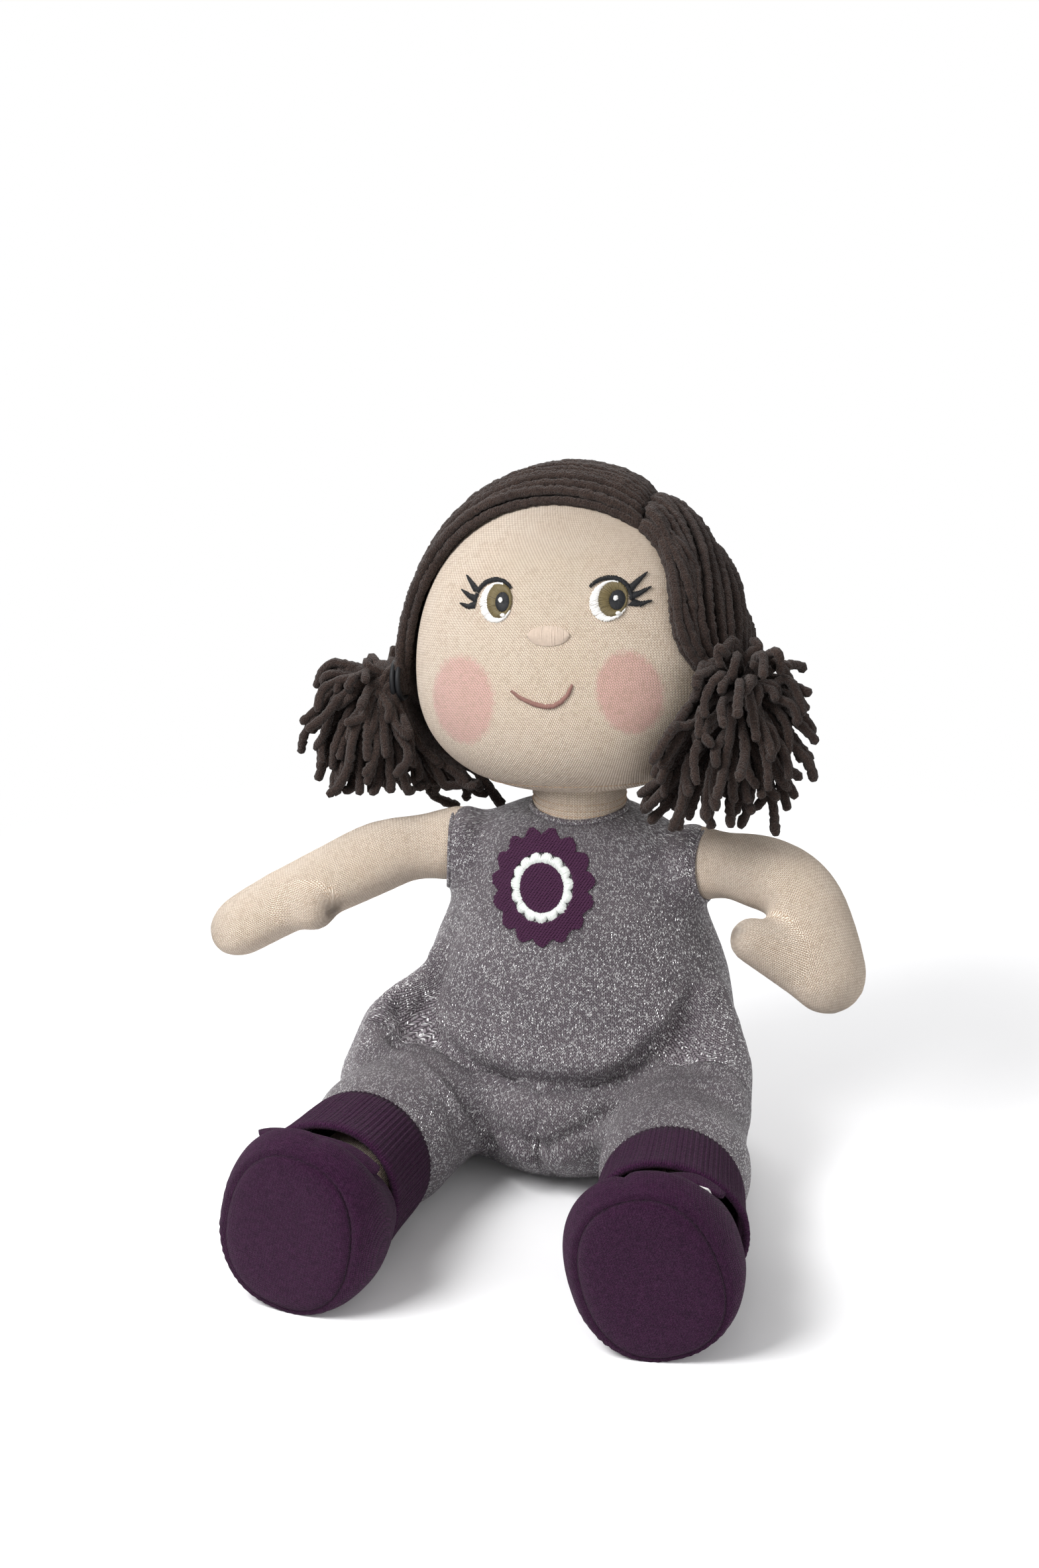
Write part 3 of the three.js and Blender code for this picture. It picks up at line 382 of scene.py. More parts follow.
fleece = plum_cloth("plum_fleece", 0.95, 0.85, 0.24, 0.22)
rib = plum_cloth("plum_rib", 1.5, 1.0, 0.26, 0.2)
yarn_hair = chenille()
print("materials:", fleece.name, rib.name, yarn_hair.name)

# %% [markdown]
# Embroidery and ties are rayon and cotton threads: smooth, close, with a soft gloss along them.
# Stuffing is loose white polyester that nobody sees until a seam opens.

# %% Threads, stuffing and tape
def thread(name, colour, roughness=0.45, sheen=0.0, metallic=0.0):
    """A twisted sewing thread; its colour varies a little from stitch to stitch."""
    made, tree = new_material(name)
    grain = blotches(tree, 0.8, 0.0, 0.3, 3.0)
    darker = [c * 0.55 for c in linear(colour)[:3]] + [1.0]
    surface(tree, mixed(tree, grain, linear(colour), darker), grain, 0.1, roughness, sheen, 0.3, metallic)
    return made


white_thread = thread("white_rayon_thread", "#E6E4E1", 0.5)
olive_thread = thread("olive_rayon_thread", "#64583A", 0.5)
black_thread = thread("black_rayon_thread", "#0B0C10", 0.6)
nose_thread = thread("pale_rayon_thread", "#C2B1A2", 0.85)
mouth_thread = thread("dusty_rose_thread", "#8F6B63", 0.9)
plum_thread = thread("plum_cotton_thread", "#3C1536", 0.8, sheen=0.06)
silver_thread = thread("silver_lurex_thread", "#D4D8D4", 0.5, metallic=0.15)
seam_thread = thread("cream_seam_thread", "#CDB094", 0.9)
fibre_fill = thread("polyester_fibre_fill", "#F0EEE8", 0.95, sheen=0.4)
tape = thread("white_hook_and_loop", "#EDEBE9", 0.7, sheen=0.2)
print("threads, stuffing and tape are ready")

# %% [markdown]
# Soft bodies are best made from a round start. A sphere of many small faces is pulled over a
# formula for the real form; where two bodies are sewn together, a fine voxel remesh makes one skin
# over both. The helpers below do that, lay the stitches, and hand the mesh over as a piece.

# %% Helpers for meshes
def piece(name, bm, finish, slot, stands_for=()):
    """Makes the bmesh a smooth piece of the doll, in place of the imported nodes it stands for."""
    mesh = bpy.data.meshes.new(name)
    bm.to_mesh(mesh)
    bm.free()
    mesh.shade_smooth()
    mesh.materials.append(finish)
    made = add_object(name, mesh)
    if stands_for:
        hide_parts(*stands_for)
    print(name, "has", len(mesh.polygons), "faces")
    return made


def ball(around, along, place):
    """A sphere pulled over a form. place takes a point of the unit sphere, in millimetres out."""
    bm = bmesh.new()
    bmesh.ops.create_uvsphere(bm, u_segments=around, v_segments=along, radius=1)
    for vert in bm.verts:
        vert.co = place(vert.co.copy()) * MM
    bmesh.ops.recalc_face_normals(bm, faces=bm.faces)
    return bm


def lay_stitches(bm, place, faces=None):
    """Lays a pattern in millimetres. place(point) gives the turn round the piece as a share from
    -0.5 to 0.5, the girth there and the distance along it; its seam is at half a turn."""
    layer = bm.loops.layers.uv.get("stitches") or bm.loops.layers.uv.new("stitches")
    known = {vert: place(vert.co / MM) for vert in bm.verts}
    for face in faces or bm.faces:
        middle = place(face.calc_center_median() / MM)[0]
        for loop in face.loops:
            turn, girth, along = known[loop.vert]
            turn += round(middle - turn)
            loop[layer].uv = (turn * girth, along)


SOLVER_ROUNDS = 500


def least_squares(count, edges, wanted):
    """The numbers whose differences over the edges come closest to the wanted ones."""
    a, b = edges.T

    def balance(numbers):
        gap = numbers[b] - numbers[a]
        return np.bincount(b, gap, count) - np.bincount(a, gap, count)

    goal = np.bincount(b, wanted, count) - np.bincount(a, wanted, count)
    found = np.zeros(count)
    left = goal - balance(found)
    way, size = left.copy(), left @ left
    for _ in range(SOLVER_ROUNDS):
        pushed = balance(way)
        step = size / max(way @ pushed, 1e-12)
        found += step * way
        left -= step * pushed
        smaller = left @ left
        if smaller < 1e-6:
            break
        way, size = left + way * smaller / size, smaller
    return found


def lay_evenly(bm, faces, guide, turn_of, girth):
    """Lays the stitches over folds at one size, as far as the cloth's shape allows. guide(point) is
    the way the columns run, and turn_of(point) the turn round the piece, whose seam is at a half."""
    bm.normal_update()
    layer = bm.loops.layers.uv.get("stitches") or bm.loops.layers.uv.new("stitches")
    verts = sorted({vert for face in faces for vert in face.verts}, key=lambda vert: vert.index)
    place = {vert: i for i, vert in enumerate(verts)}
    spots = np.array([vert.co for vert in verts]) / MM
    normals = np.array([vert.normal for vert in verts])
    ways = np.array([tuple(guide(spot)) for spot in spots], float)
    ways -= normals * np.sum(ways * normals, axis=1)[:, None]
    ways /= np.maximum(np.linalg.norm(ways, axis=1), 1e-6)[:, None]
    sides = np.cross(ways, normals)
    turns = np.array([turn_of(spot) for spot in spots])
    lines = {edge for face in faces for edge in face.edges}
    edges = np.array(sorted((place[edge.verts[0]], place[edge.verts[1]]) for edge in lines))
    a, b = edges.T
    steps = spots[b] - spots[a]
    jump = np.round(turns[b] - turns[a])
    across = np.sum((sides[a] + sides[b]) / 2 * steps, axis=1) + girth * jump
    along = np.sum((ways[a] + ways[b]) / 2 * steps, axis=1)
    u, v = (least_squares(len(verts), edges, wanted) for wanted in (across, along))
    for face in faces:
        middle = turn_of(np.array(face.calc_center_median()) / MM)
        for loop in face.loops:
            i = place[loop.vert]
            loop[layer].uv = (u[i] + girth * round(middle - turns[i]), v[i])


CLOTH_FRAMES = 20


def pressed(bm, held, pressure, reach):
    """Blows the cloth up from inside as stuffing does. held(point) is how firmly a point is
    held, from 0 to 1, and no point moves more than reach."""
    mesh = bpy.data.meshes.new("stuffed")
    bm.to_mesh(mesh)
    stuffed = add_object("stuffed", mesh)
    group = stuffed.vertex_groups.new(name="held")
    for vert in mesh.vertices:
        group.add([vert.index], held(vert.co / MM), "REPLACE")
    cloth = stuffed.modifiers.new("cloth", "CLOTH")
    cloth.settings.quality = 6
    cloth.settings.mass = 0.2
    cloth.settings.tension_stiffness = cloth.settings.compression_stiffness = 12
    cloth.settings.bending_stiffness = 0.4
    cloth.settings.use_pressure = True
    cloth.settings.uniform_pressure_force = pressure
    cloth.settings.vertex_group_mass = "held"
    cloth.settings.effector_weights.gravity = 0
    cloth.point_cache.frame_end = CLOTH_FRAMES
    for number in range(1, CLOTH_FRAMES + 1):
        bpy.context.scene.frame_set(number)
    ready = stuffed.evaluated_get(bpy.context.evaluated_depsgraph_get())
    after = np.array([vert.co for vert in ready.data.vertices])
    bpy.context.scene.frame_set(1)
    bpy.data.objects.remove(stuffed)
    for vert, spot in zip(bm.verts, after):
        move = Vector(spot) - vert.co
        if move.length > reach * MM:
            move *= reach * MM / move.length
        vert.co += move


def fused(bm, voxel, rounds):
    """Bodies that cross each other become one body, softened where they met."""
    mesh = bpy.data.meshes.new("crossing")
    bm.to_mesh(mesh)
    bm.free()
    crossing = add_object("crossing", mesh)
    remesh = crossing.modifiers.new("voxels", "REMESH")
    remesh.mode = "VOXEL"
    remesh.voxel_size = voxel * MM
    made = bmesh.new()
    made.from_object(crossing, bpy.context.evaluated_depsgraph_get())
    bpy.data.objects.remove(crossing)
    soften(made, rounds)
    return made


def soften(bm, rounds):
    """Moves each vertex halfway to the middle of its neighbours, some rounds over."""
    every_way = {f"use_axis_{axis}": True for axis in "xyz"}
    for _ in range(rounds):
        bmesh.ops.smooth_vert(bm, verts=bm.verts, factor=0.5, **every_way)


def grown(bm, growth):
    """Moves each vertex out along its normal by growth(vertex), in millimetres."""
    bm.normal_update()
    for vert in bm.verts:
        vert.co += vert.normal * growth(vert) * MM


def loft(rings, caps=(0, -1)):
    """A skin over rings of points in millimetres. caps numbers the rings that close its ends;
    without any, it goes on from the last ring to the first."""
    bm = bmesh.new()
    rings = [[bm.verts.new(point * MM) for point in ring] for ring in rings]
    for ring, after in zip(rings, rings[1:] + ([] if caps else rings[:1])):
        for corners in zip(ring, ring[1:] + ring[:1], after[1:] + after[:1], after):
            bm.faces.new(corners)
    for number in caps:
        bm.faces.new(rings[number])
    bmesh.ops.recalc_face_normals(bm, faces=bm.faces)
    return bm


def packed(node_name):
    """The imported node's own mesh, its doubled corners merged."""
    bm = bmesh.new()
    bm.from_mesh(frame["nodes"][node_name].data)
    bmesh.ops.remove_doubles(bm, verts=bm.verts, dist=0.02 * MM)
    return bm


def travelled(spots):
    """How far along a line of points each of them lies."""
    steps = np.linalg.norm(np.diff(spots, axis=0), axis=1)
    return np.concatenate([[0], np.cumsum(steps)])


def on_sphere(unit):
    """Where a point of the unit sphere lies: its share from pole to pole, its gap to the axis."""
    share = math.asin(max(-1.0, min(1.0, unit.z))) / math.pi + 0.5
    return share, math.hypot(unit.x, unit.y) or 1.0


def stuffing(name, node_name, voxel=4.0):
    """A hidden filling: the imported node's own mesh, merged and softened to a smooth lump."""
    return piece(name, fused(packed(node_name), voxel, 4), fibre_fill, "stuffing", [node_name])


def swell(bm, path, width, height):
    """Raises a fold along a path of points, or sinks a crease where height is negative."""
    bm.normal_update()
    spots = np.array([vert.co for vert in bm.verts]) / MM
    nearest = np.full(len(spots), 1e9)
    for a, b in zip(path, path[1:]):
        a, b = np.array(a, float), np.array(b, float)
        share = np.clip((spots - a) @ (b - a) / ((b - a) @ (b - a)), 0, 1)
        gap = np.linalg.norm(spots - a - share[:, None] * (b - a), axis=1)
        nearest = np.minimum(nearest, gap)
    moves = height * np.exp(-((nearest / width) ** 2)) * MM
    for vert, move in zip(bm.verts, moves):
        if abs(move) > 1e-6:
            vert.co += vert.normal * move


def strands(name, paths, radius, finish, slot, stands_for=(), rounder=1):
    """Round threads or yarns as one mesh. A path is a list of (point, thickness) pairs."""
    data = bpy.data.curves.new(name, "CURVE")
    data.dimensions = "3D"
    data.bevel_depth = radius * MM
    data.bevel_resolution = rounder
    data.use_fill_caps = True
    for path in paths:
        spline = data.splines.new("POLY")
        spline.points.add(len(path) - 1)
        for spot, (at, thick) in zip(spline.points, path):
            spot.co = (*(Vector(at) * MM), 1)
            spot.radius = thick
    curve = add_object(name, data)
    ready = curve.evaluated_get(bpy.context.evaluated_depsgraph_get())
    mesh = bpy.data.meshes.new_from_object(ready)
    bpy.data.objects.remove(curve)
    bm = bmesh.new()
    bm.from_mesh(mesh)
    bpy.data.meshes.remove(mesh)
    bmesh.ops.recalc_face_normals(bm, faces=bm.faces)
    return piece(name, bm, finish, slot, stands_for)


def mixed_points(a, b, share):
    """The point at that share of the way from a to b."""
    return Vector(a).lerp(Vector(b), share)


def eased(value, low, high):
    """0 below low, 1 above high, smooth between; low may be the larger."""
    share = min(max((value - low) / (high - low), 0.0), 1.0)
    return share * share * (3 - 2 * share)


# %% [markdown]
# The head is an egg with a squarer jaw, stuffed hard. It sits on the neck's ball, looks slightly
# up and leans a little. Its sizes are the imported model's, in the head's own frame, whose origin is
# the joint, so that the face can be laid out upright and then turned with the head.

# %% Head
PIVOTS = {joint["name"]: Vector(joint["pos_m"]) / MM for joint in frame["joints"] if "pos_m" in joint}
HEAD_HALF_WIDTH, HEAD_FRONT, HEAD_BACK = 61.0, 50.0, 52.0
HEAD_CROWN, HEAD_JAW = 71.0, 45.5
HEAD_MIDDLE = Vector((0.5, 0, 47.0))
JAW_SQUARE = 2.4
HEAD_TURN = Matrix.Rotation(math.radians(-8), 3, "X") @ Matrix.Rotation(math.radians(-4), 3, "Y")
CHIN_SEAM = 7.0
HEAD_GIRTH = 352.0


def from_head(point):
    """A point of the head's own frame, in the doll's frame."""
    return PIVOTS["head_nod"] + HEAD_TURN @ Vector(point)


def to_head(point):
    """A point of the doll's frame, in the head's own."""
    return HEAD_TURN.transposed() @ (Vector(point) - PIVOTS["head_nod"])


def egg(unit):
    """The head's form: whether a direction is below the middle, its spread and rise as shares of
    the half sizes, the direction's gap to the axis, and the depth and height there."""
    level = math.asin(max(-1.0, min(1.0, unit.z)))
    power = 2 / JAW_SQUARE if level < 0 else 1.0
    spread, rise = abs(math.cos(level)) ** power, abs(math.sin(level)) ** power
    depth = HEAD_FRONT if unit.y < 0 else HEAD_BACK
    tall = -HEAD_JAW if level < 0 else HEAD_CROWN
    return level < 0, spread, rise, math.hypot(unit.x, unit.y) or 1.0, depth, tall


def head_place(unit):
    """The head's surface at a point of the unit sphere, with its stitched chin seam."""
    _, spread, rise, around, depth, tall = egg(unit)
    height = HEAD_MIDDLE.z + tall * rise
    gap = height - CHIN_SEAM
    pinch = 0.8 * math.exp(-((gap / 1.0) ** 2)) - 0.35 * math.exp(-(((gap - 2.4) / 1.2) ** 2))
    spread *= 1 - pinch / HEAD_HALF_WIDTH
    across = HEAD_MIDDLE.x + HEAD_HALF_WIDTH * spread * unit.x / around
    return from_head((across, depth * spread * unit.y / around, height))


def head_girth_turn(point):
    """The turn round the head from the middle of the face."""
    spot = to_head(point) - HEAD_MIDDLE
    return math.atan2(spot.x, -spot.y) / math.tau


head_bm = ball(176, 128, head_place)
lay_evenly(head_bm, head_bm.faces, lambda p: HEAD_TURN @ Vector((0, 0.05, 1)), head_girth_turn, HEAD_GIRTH)
face_layer = head_bm.loops.layers.uv.new("face")
for face in head_bm.faces:
    for loop in face.loops:
        spot = to_head(loop.vert.co / MM)
        loop[face_layer].uv = (spot.x, spot.z)
head = piece("head", head_bm, face_skin, "skin_knit", ["head_skin"])
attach(head, "head")
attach(stuffing("head_stuffing", "head_filling"), "head")

# %% [markdown]
# The face is machine embroidery: satin stitch, where threads lie side by side from edge to edge of
# a shape and bulge a little over the ones below. Each thread is laid here as its own small tube,
# with ragged ends, because that raggedness is what tells stitching from paint.

# %% Embroidery on the face
THREAD = 0.17
STITCH_GAP = 0.23
EYE_X = {"right": -19.2, "left": 21.6}
EYE_Z = 76.0
LID_RADIUS = 8.0
RANDOM = random.Random(7)


def face_point(x, z, lift):
    """The front of the head's surface at (x, z) of its own frame, lifted off it."""
    side, rise = (x - HEAD_MIDDLE.x) / HEAD_HALF_WIDTH, z - HEAD_MIDDLE.z
    power = 2.0 if rise >= 0 else JAW_SQUARE
    share = 1 - abs(rise / (HEAD_CROWN if rise >= 0 else HEAD_JAW)) ** power
    depth = HEAD_FRONT * math.sqrt(max(share ** (2 / power) - side**2, 0.0))
    tall = HEAD_CROWN if rise >= 0 else HEAD_JAW
    out = Vector((side / HEAD_HALF_WIDTH, -depth / HEAD_FRONT**2, rise / tall**2)).normalized()
    return from_head(Vector((x, -depth, z)) + out * lift)


def satin(start, end, low=0.25, high=0.8, jitter=0.25, steps=6, ground=face_point):
    """One thread from start to end on the face, low at its ends and high between them."""
    a, b = (Vector([at + RANDOM.uniform(-jitter, jitter) for at in (x, z)]) for x, z in (start, end))
    path = []
    for i in range(steps + 1):
        share = i / steps
        spot = a.lerp(b, share)
        lift = low + (high - low) * math.sin(math.pi * share)
        path.append((ground(spot.x, spot.y, lift), 1.0))
    return path


def oval_point(x, z, wide, tall, angle):
    """A point on an ellipse, with the angle in degrees from the doll's left."""
    turn = math.radians(angle)
    return x + wide * math.cos(turn), z + tall * math.sin(turn)


def radial(inner, outer, first, last, count, **lift):
    """Threads from an inner ellipse to an outer one, between two angles."""
    angles = [first + (last - first) * (i + 0.5) / count for i in range(count)]
    return [satin(oval_point(*inner, a), oval_point(*outer, a), **lift) for a in angles]


def band(points, wide, spacing, lean=0.0, ends=0.45):
    """Threads laid across a curve, shorter towards its ends."""
    threads = []
    for a, b in zip(points, points[1:]):
        a, b = Vector(a), Vector(b)
        count = max(round((b - a).length / spacing), 1)
        for i in range(count):
            threads.append((a.lerp(b, i / count), (b - a).normalized()))
    laid = []
    for i, (spot, along) in enumerate(threads):
        half = wide / 2 * (ends + (1 - ends) * math.sin(math.pi * (i + 0.5) / len(threads)) ** 0.5)
        across = Vector((-along.y, along.x)) + along * lean
        laid.append(satin(spot - across * half, spot + across * half, 0.3, 0.85, 0.12, 4))
    return laid


def tapered(points, wide, spacing, lean):
    """Threads laid across a curve that comes to a point."""
    made = []
    length = sum((Vector(b) - Vector(a)).length for a, b in zip(points, points[1:]))
    done = 0.0
    for a, b in zip(points, points[1:]):
        a, b = Vector(a), Vector(b)
        along = (b - a).normalized()
        across = Vector((-along.y, along.x)) + along * lean
        count = max(round((b - a).length / spacing), 1)
        for i in range(count):
            spot = a.lerp(b, i / count)
            half = wide / 2 * (1 - (done + (spot - a).length) / length) ** 0.6
            made.append(satin(spot - across * half, spot + across * half, 0.25, 0.75, 0.1, 4))
        done += (b - a).length
    return made


for side, out in (("right", -1), ("left", 1)):
    x = EYE_X[side]
    white = (x + 0.2, EYE_Z - 0.1, 6.2, 6.7)
    iris = (x + 1.8, EYE_Z + 0.7, 4.9, 6.1)
    pupil = (x + 3.2, EYE_Z + 0.2, 2.6, 3.3)
    dot = (x + 3.2, EYE_Z + 0.2, 0.2, 0.3)
    rim = radial(iris, white, 70, 330, 150, low=0.15, high=0.6)
    rays = radial(pupil, iris, 0, 360, 140, low=0.3, high=0.8, jitter=0.14)
    heart = radial(dot, pupil, 0, 360, 110, low=0.75, high=1.0, jitter=0.1)
    made = {
        "white": (rim, white_thread, "white_thread"),
        "iris": (rays, olive_thread, "olive_thread"),
        "pupil": (heart, black_thread, "black_thread"),
    }
    glint = (x + 2.6, EYE_Z + 0.8, 0.75, 0.8)
    spark = (x + 3.6, EYE_Z - 4.4, 0.8, 0.55)
    tiny = [
        satin(oval_point(*oval, a), oval_point(*oval, a + 180), 1.0, 1.3, 0.08)
        for oval in (glint, spark)
        for a in range(0, 180, 15)
    ]
    made["glint"] = (tiny, white_thread, "white_thread")
    turns = [math.radians(a) for a in range(178, 28, -10)]
    lid = [(x - out * LID_RADIUS * math.cos(a), EYE_Z + LID_RADIUS * math.sin(a)) for a in turns]
    trim = band(lid, 1.5, STITCH_GAP, ends=0.5)
    for lash in (
        [(x + out * 7.8, EYE_Z - 0.8), (x + out * 11, EYE_Z - 1.6), (x + out * 14.6, EYE_Z - 0.6)],
        [(x + out * 7.9, EYE_Z + 1.2), (x + out * 10.5, EYE_Z + 2.1), (x + out * 14.2, EYE_Z + 4.2)],
        [(x + out * 7.6, EYE_Z + 4.0), (x + out * 9.6, EYE_Z + 6.2), (x + out * 12.6, EYE_Z + 9.2)],
    ):
        trim += tapered(lash, 2.4, STITCH_GAP, lean=0.5)
    made["lid_and_lashes"] = (trim, black_thread, "black_thread")
    for part, (threads, finish, slot) in made.items():
        name = f"eye_{side}_{part}"
        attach(strands(name + "_stitches", threads, THREAD, finish, slot, [name]), "head")

NOSE_AT, NOSE_HALF = (1.2, 64.5), (7.5, 3.5)
nose = []
for column in (i / 31 for i in range(-31, 32)):
    reach = NOSE_HALF[1] * math.sqrt(max(1 - column**2, 0.02))
    across = NOSE_AT[0] + NOSE_HALF[0] * column
    nose.append(satin((across, NOSE_AT[1] - reach), (across, NOSE_AT[1] + reach), 0.2, 0.9, 0.08))
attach(strands("nose_stitches", nose, THREAD, nose_thread, "nose_thread", ["nose"]), "head")

SMILE = [(-12.8, 45.2), (-9.5, 42.8), (-4.6, 40.6), (-0.5, 39.6)]
SMILE += [(2.6, 39.7), (5.4, 41.2), (7.8, 43.6), (9.8, 47.4)]
smile = band(SMILE, 1.6, STITCH_GAP, lean=0.6, ends=0.3)
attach(strands("mouth_stitches", smile, THREAD, mouth_thread, "mouth_thread", ["mouth"]), "head")

# %% [markdown]
# The body under the clothes is a pear of jersey, widest at the hips, that slopes to the neck. The
# limbs are tubes with round ends. Both come from short tables of sizes read as smooth curves.

# %% Helpers for bodies and limbs
def smooth_rows(rows, samples=400):
    """Rows of numbers read as smooth curves that pass through every row."""
    rows = np.array(rows, float)
    padded_rows = np.vstack([2 * rows[0] - rows[1], rows, 2 * rows[-1] - rows[-2]])
    made = []
    for t in np.linspace(0, len(rows) - 1, samples):
        i = min(int(t), len(rows) - 2)
        f = t - i
        a, b, c, d = padded_rows[i : i + 4]
        bend, twist = 2 * a - 5 * b + 4 * c - d, 3 * b - 3 * c + d - a
        made.append(0.5 * (2 * b + (c - a) * f + bend * f**2 + twist * f**3))
    return np.array(made)


def read_at(table, share):
    """A row of such a table at a share from 0 to 1, between its samples."""
    place = min(max(share, 0.0), 1.0) * (len(table) - 1)
    i = min(int(place), len(table) - 2)
    return table[i] + (table[i + 1] - table[i]) * (place - i)


TORSO_ROWS = [
    [1.5, 0, 0, 0], [2.3, 29.8, 34.6, 24], [6.8, 45.2, 48, 33.6], [20.4, 55.3, 51.8, 41.3],
    [43.5, 59.5, 49, 44.2], [72.1, 56.5, 43.2, 41.3], [96.6, 47.5, 35.3, 33.6], [114.2, 44, 28, 28],
    [126.5, 37.8, 22.4, 22.4], [132.6, 26.4, 19, 19], [135.3, 17.6, 15.4, 15.4], [136, 0, 0, 0],
]
TORSO_ROWS = smooth_rows(TORSO_ROWS)


def torso_place(unit):
    """The body's surface at a point of the unit sphere."""
    share, around = on_sphere(unit)
    height, wide, front, back = read_at(TORSO_ROWS, share)
    depth = front if unit.y < 0 else back
    return Vector((max(wide, 0) * unit.x / around, max(depth, 0) * unit.y / around, height))


def torso_stitch(point):
    """Columns of stitches run up the body; the girth eases in towards the shoulders."""
    turn = math.atan2(point[0], -point[1]) / math.tau
    girth = 330 - 90 * eased(point[2], 60, 125)
    share = np.interp(point[2], TORSO_ROWS[:, 0], np.linspace(0, 1, len(TORSO_ROWS)))
    _, wide, front, back = read_at(TORSO_ROWS, share)
    depth = front if point[1] < 0 else back
    beyond = math.hypot(point[0] / max(wide, 9), point[1] / max(depth, 9)) - 1
    return turn, girth, point[2] - 50 * max(beyond, 0.0)


def capped(*ends):
    """How far a tube narrows, for each end's distance and the length of its round cap."""
    narrowing = 1.0
    for gap, cap in ends:
        left = min(max((cap - gap) / cap, 0.0), 1.0)
        narrowing *= math.sqrt(max(1 - left**2, 0.0))
    return narrowing


class Limb:
    """A tube along a path, from rows of [share of the path, side radius, upper radius]."""

    def __init__(self, path, rows, start_cap, end_cap):
        spots = smooth_rows(path)
        travel = travelled(spots)
        self.length = travel[-1]
        even = np.linspace(0, self.length, 200)
        self.spots = np.column_stack([np.interp(even, travel, spots[:, i]) for i in range(3)])
        self.rows = smooth_rows(rows)
        self.caps = start_cap, end_cap

    def axes(self, share):
        """The middle of the tube there, and its side, upper and forward directions."""
        middle = Vector(read_at(self.spots, share))
        ahead = Vector(read_at(self.spots, share + 0.01)) - Vector(read_at(self.spots, share - 0.01))
        ahead.normalize()
        side = ahead.cross(Vector((0, 0, 1))).normalized()
        return middle, side, side.cross(ahead), ahead

    def place(self, unit):
        """The tube's surface at a point of the unit sphere, whose Z runs along the tube."""
        share, around = on_sphere(unit)
        middle, side, upper, _ = self.axes(share)
        distance = share * self.length
        narrow = capped((distance, self.caps[0]), (self.length - distance, self.caps[1]))
        wide, tall = (np.interp(share, self.rows[:, 0], self.rows[:, k]) for k in (1, 2))
        across = side * (wide * narrow * unit.x / around)
        return middle + across + upper * (tall * narrow * unit.y / around)

    def stitch(self, point, girth, seam=0.0):
        """Where a point lies round the tube and along it, for columns that run along the limb."""
        gaps = np.linalg.norm(self.spots - np.array(point), axis=1)
        i = int(gaps.argmin())
        middle, side, upper, ahead = self.axes(i / (len(self.spots) - 1))
        off = Vector(point) - middle
        along = i / (len(self.spots) - 1) * self.length + off.dot(ahead)
        turn = math.atan2(off.dot(side), -off.dot(upper)) / math.tau + seam
        return turn - round(turn), girth, along


def add_ball(bm, centre, radii, around=24):
    """Adds an ellipsoid, in millimetres, to bodies that are to be fused."""
    turned = Matrix.Translation(Vector(centre) * MM) @ Matrix.Diagonal((*(Vector(radii) * MM), 1))
    bmesh.ops.create_uvsphere(bm, u_segments=around, v_segments=around // 2, radius=1, matrix=turned)


def add_form(bm, place, around, along, moved=None):
    """Adds a closed form to bodies that are to be fused. moved puts each point in the doll."""
    made = bmesh.ops.create_uvsphere(bm, u_segments=around, v_segments=along, radius=1)
    for vert in made["verts"]:
        at = place(vert.co.copy())
        vert.co = (moved(at) if moved else at) * MM


# %% Body and neck
UNDER_CREASES = 4.0
torso_bm = ball(96, 72, torso_place)
grown(torso_bm, lambda vert: -UNDER_CREASES * eased(vert.co.z / MM, 128, 118))
lay_stitches(torso_bm, torso_stitch)
torso = piece("body", torso_bm, skin, "skin_knit", ["torso_skin"])
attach(torso, "torso")
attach(stuffing("body_stuffing", "torso_filling"), "torso")

NECK_RADIUS, NECK_LOW, NECK_HIGH = 17.4, 118.0, 157.0
NECK_SEAMS = (137.2, 139.3, 141.6)
neck_rows = [[NECK_LOW, 16.0], [126, 17.0], [133, 17.4], [139, 17.6], [148, 16.5], [NECK_HIGH, 8]]
neck_rows = smooth_rows(neck_rows)


def neck_place(unit):
    """A short round neck that runs up inside the head, puckered at its rows of stitching."""
    share, around = on_sphere(unit)
    height, radius = read_at(neck_rows, share)
    pucker = sum(math.exp(-(((height - z) / 0.7) ** 2)) for z in NECK_SEAMS) * 0.3
    pucker *= 0.7 + 0.3 * math.sin(11 * math.atan2(unit.y, unit.x))
    radius = (radius - pucker) * min(around * 6, 1.0)
    return Vector((radius * unit.x / around, radius * unit.y / around, height))


def seam_threads(name, rings, body, radius=0.3, share=0.6, lap=2.2):
    """Short stitches in a row. rings are functions that give a point at a turn, with its lift."""
    made = []
    for ring, length, first, last in rings:
        count = int(length * (last - first) / lap)
        for i in range(count):
            turns = [math.tau * (first + (last - first) * (i + share * k / 3) / count) for k in range(4)]
            lifts = (0.1, 0.45, 0.45, 0.1)
            made.append([(ring(turn, lift), 1.0) for turn, lift in zip(turns, lifts)])
    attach(strands(name, made, radius, seam_thread, "skin_knit"), body)


def neck_ring(height, turn, lift):
    """A point round the neck, from its front."""
    radius = read_at(neck_rows, (height - NECK_LOW) / (NECK_HIGH - NECK_LOW))[1] - 0.3 + lift
    return Vector((radius * math.sin(turn), -radius * math.cos(turn), height))


neck_bm = ball(96, 72, neck_place)
lay_stitches(neck_bm, lambda p: (math.atan2(p[0], -p[1]) / math.tau, math.tau * NECK_RADIUS, p[2]))
neck = piece("neck_tube", neck_bm, skin, "skin_knit", ["neck"])
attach(neck, "neck")
neck_rings = [(lambda turn, lift, z=z: neck_ring(z, turn, lift), 108.0, 0.0, 1.0) for z in NECK_SEAMS]
seam_threads("neck_seam_stitches", neck_rings, "neck", 0.17, 0.6, 1.7)


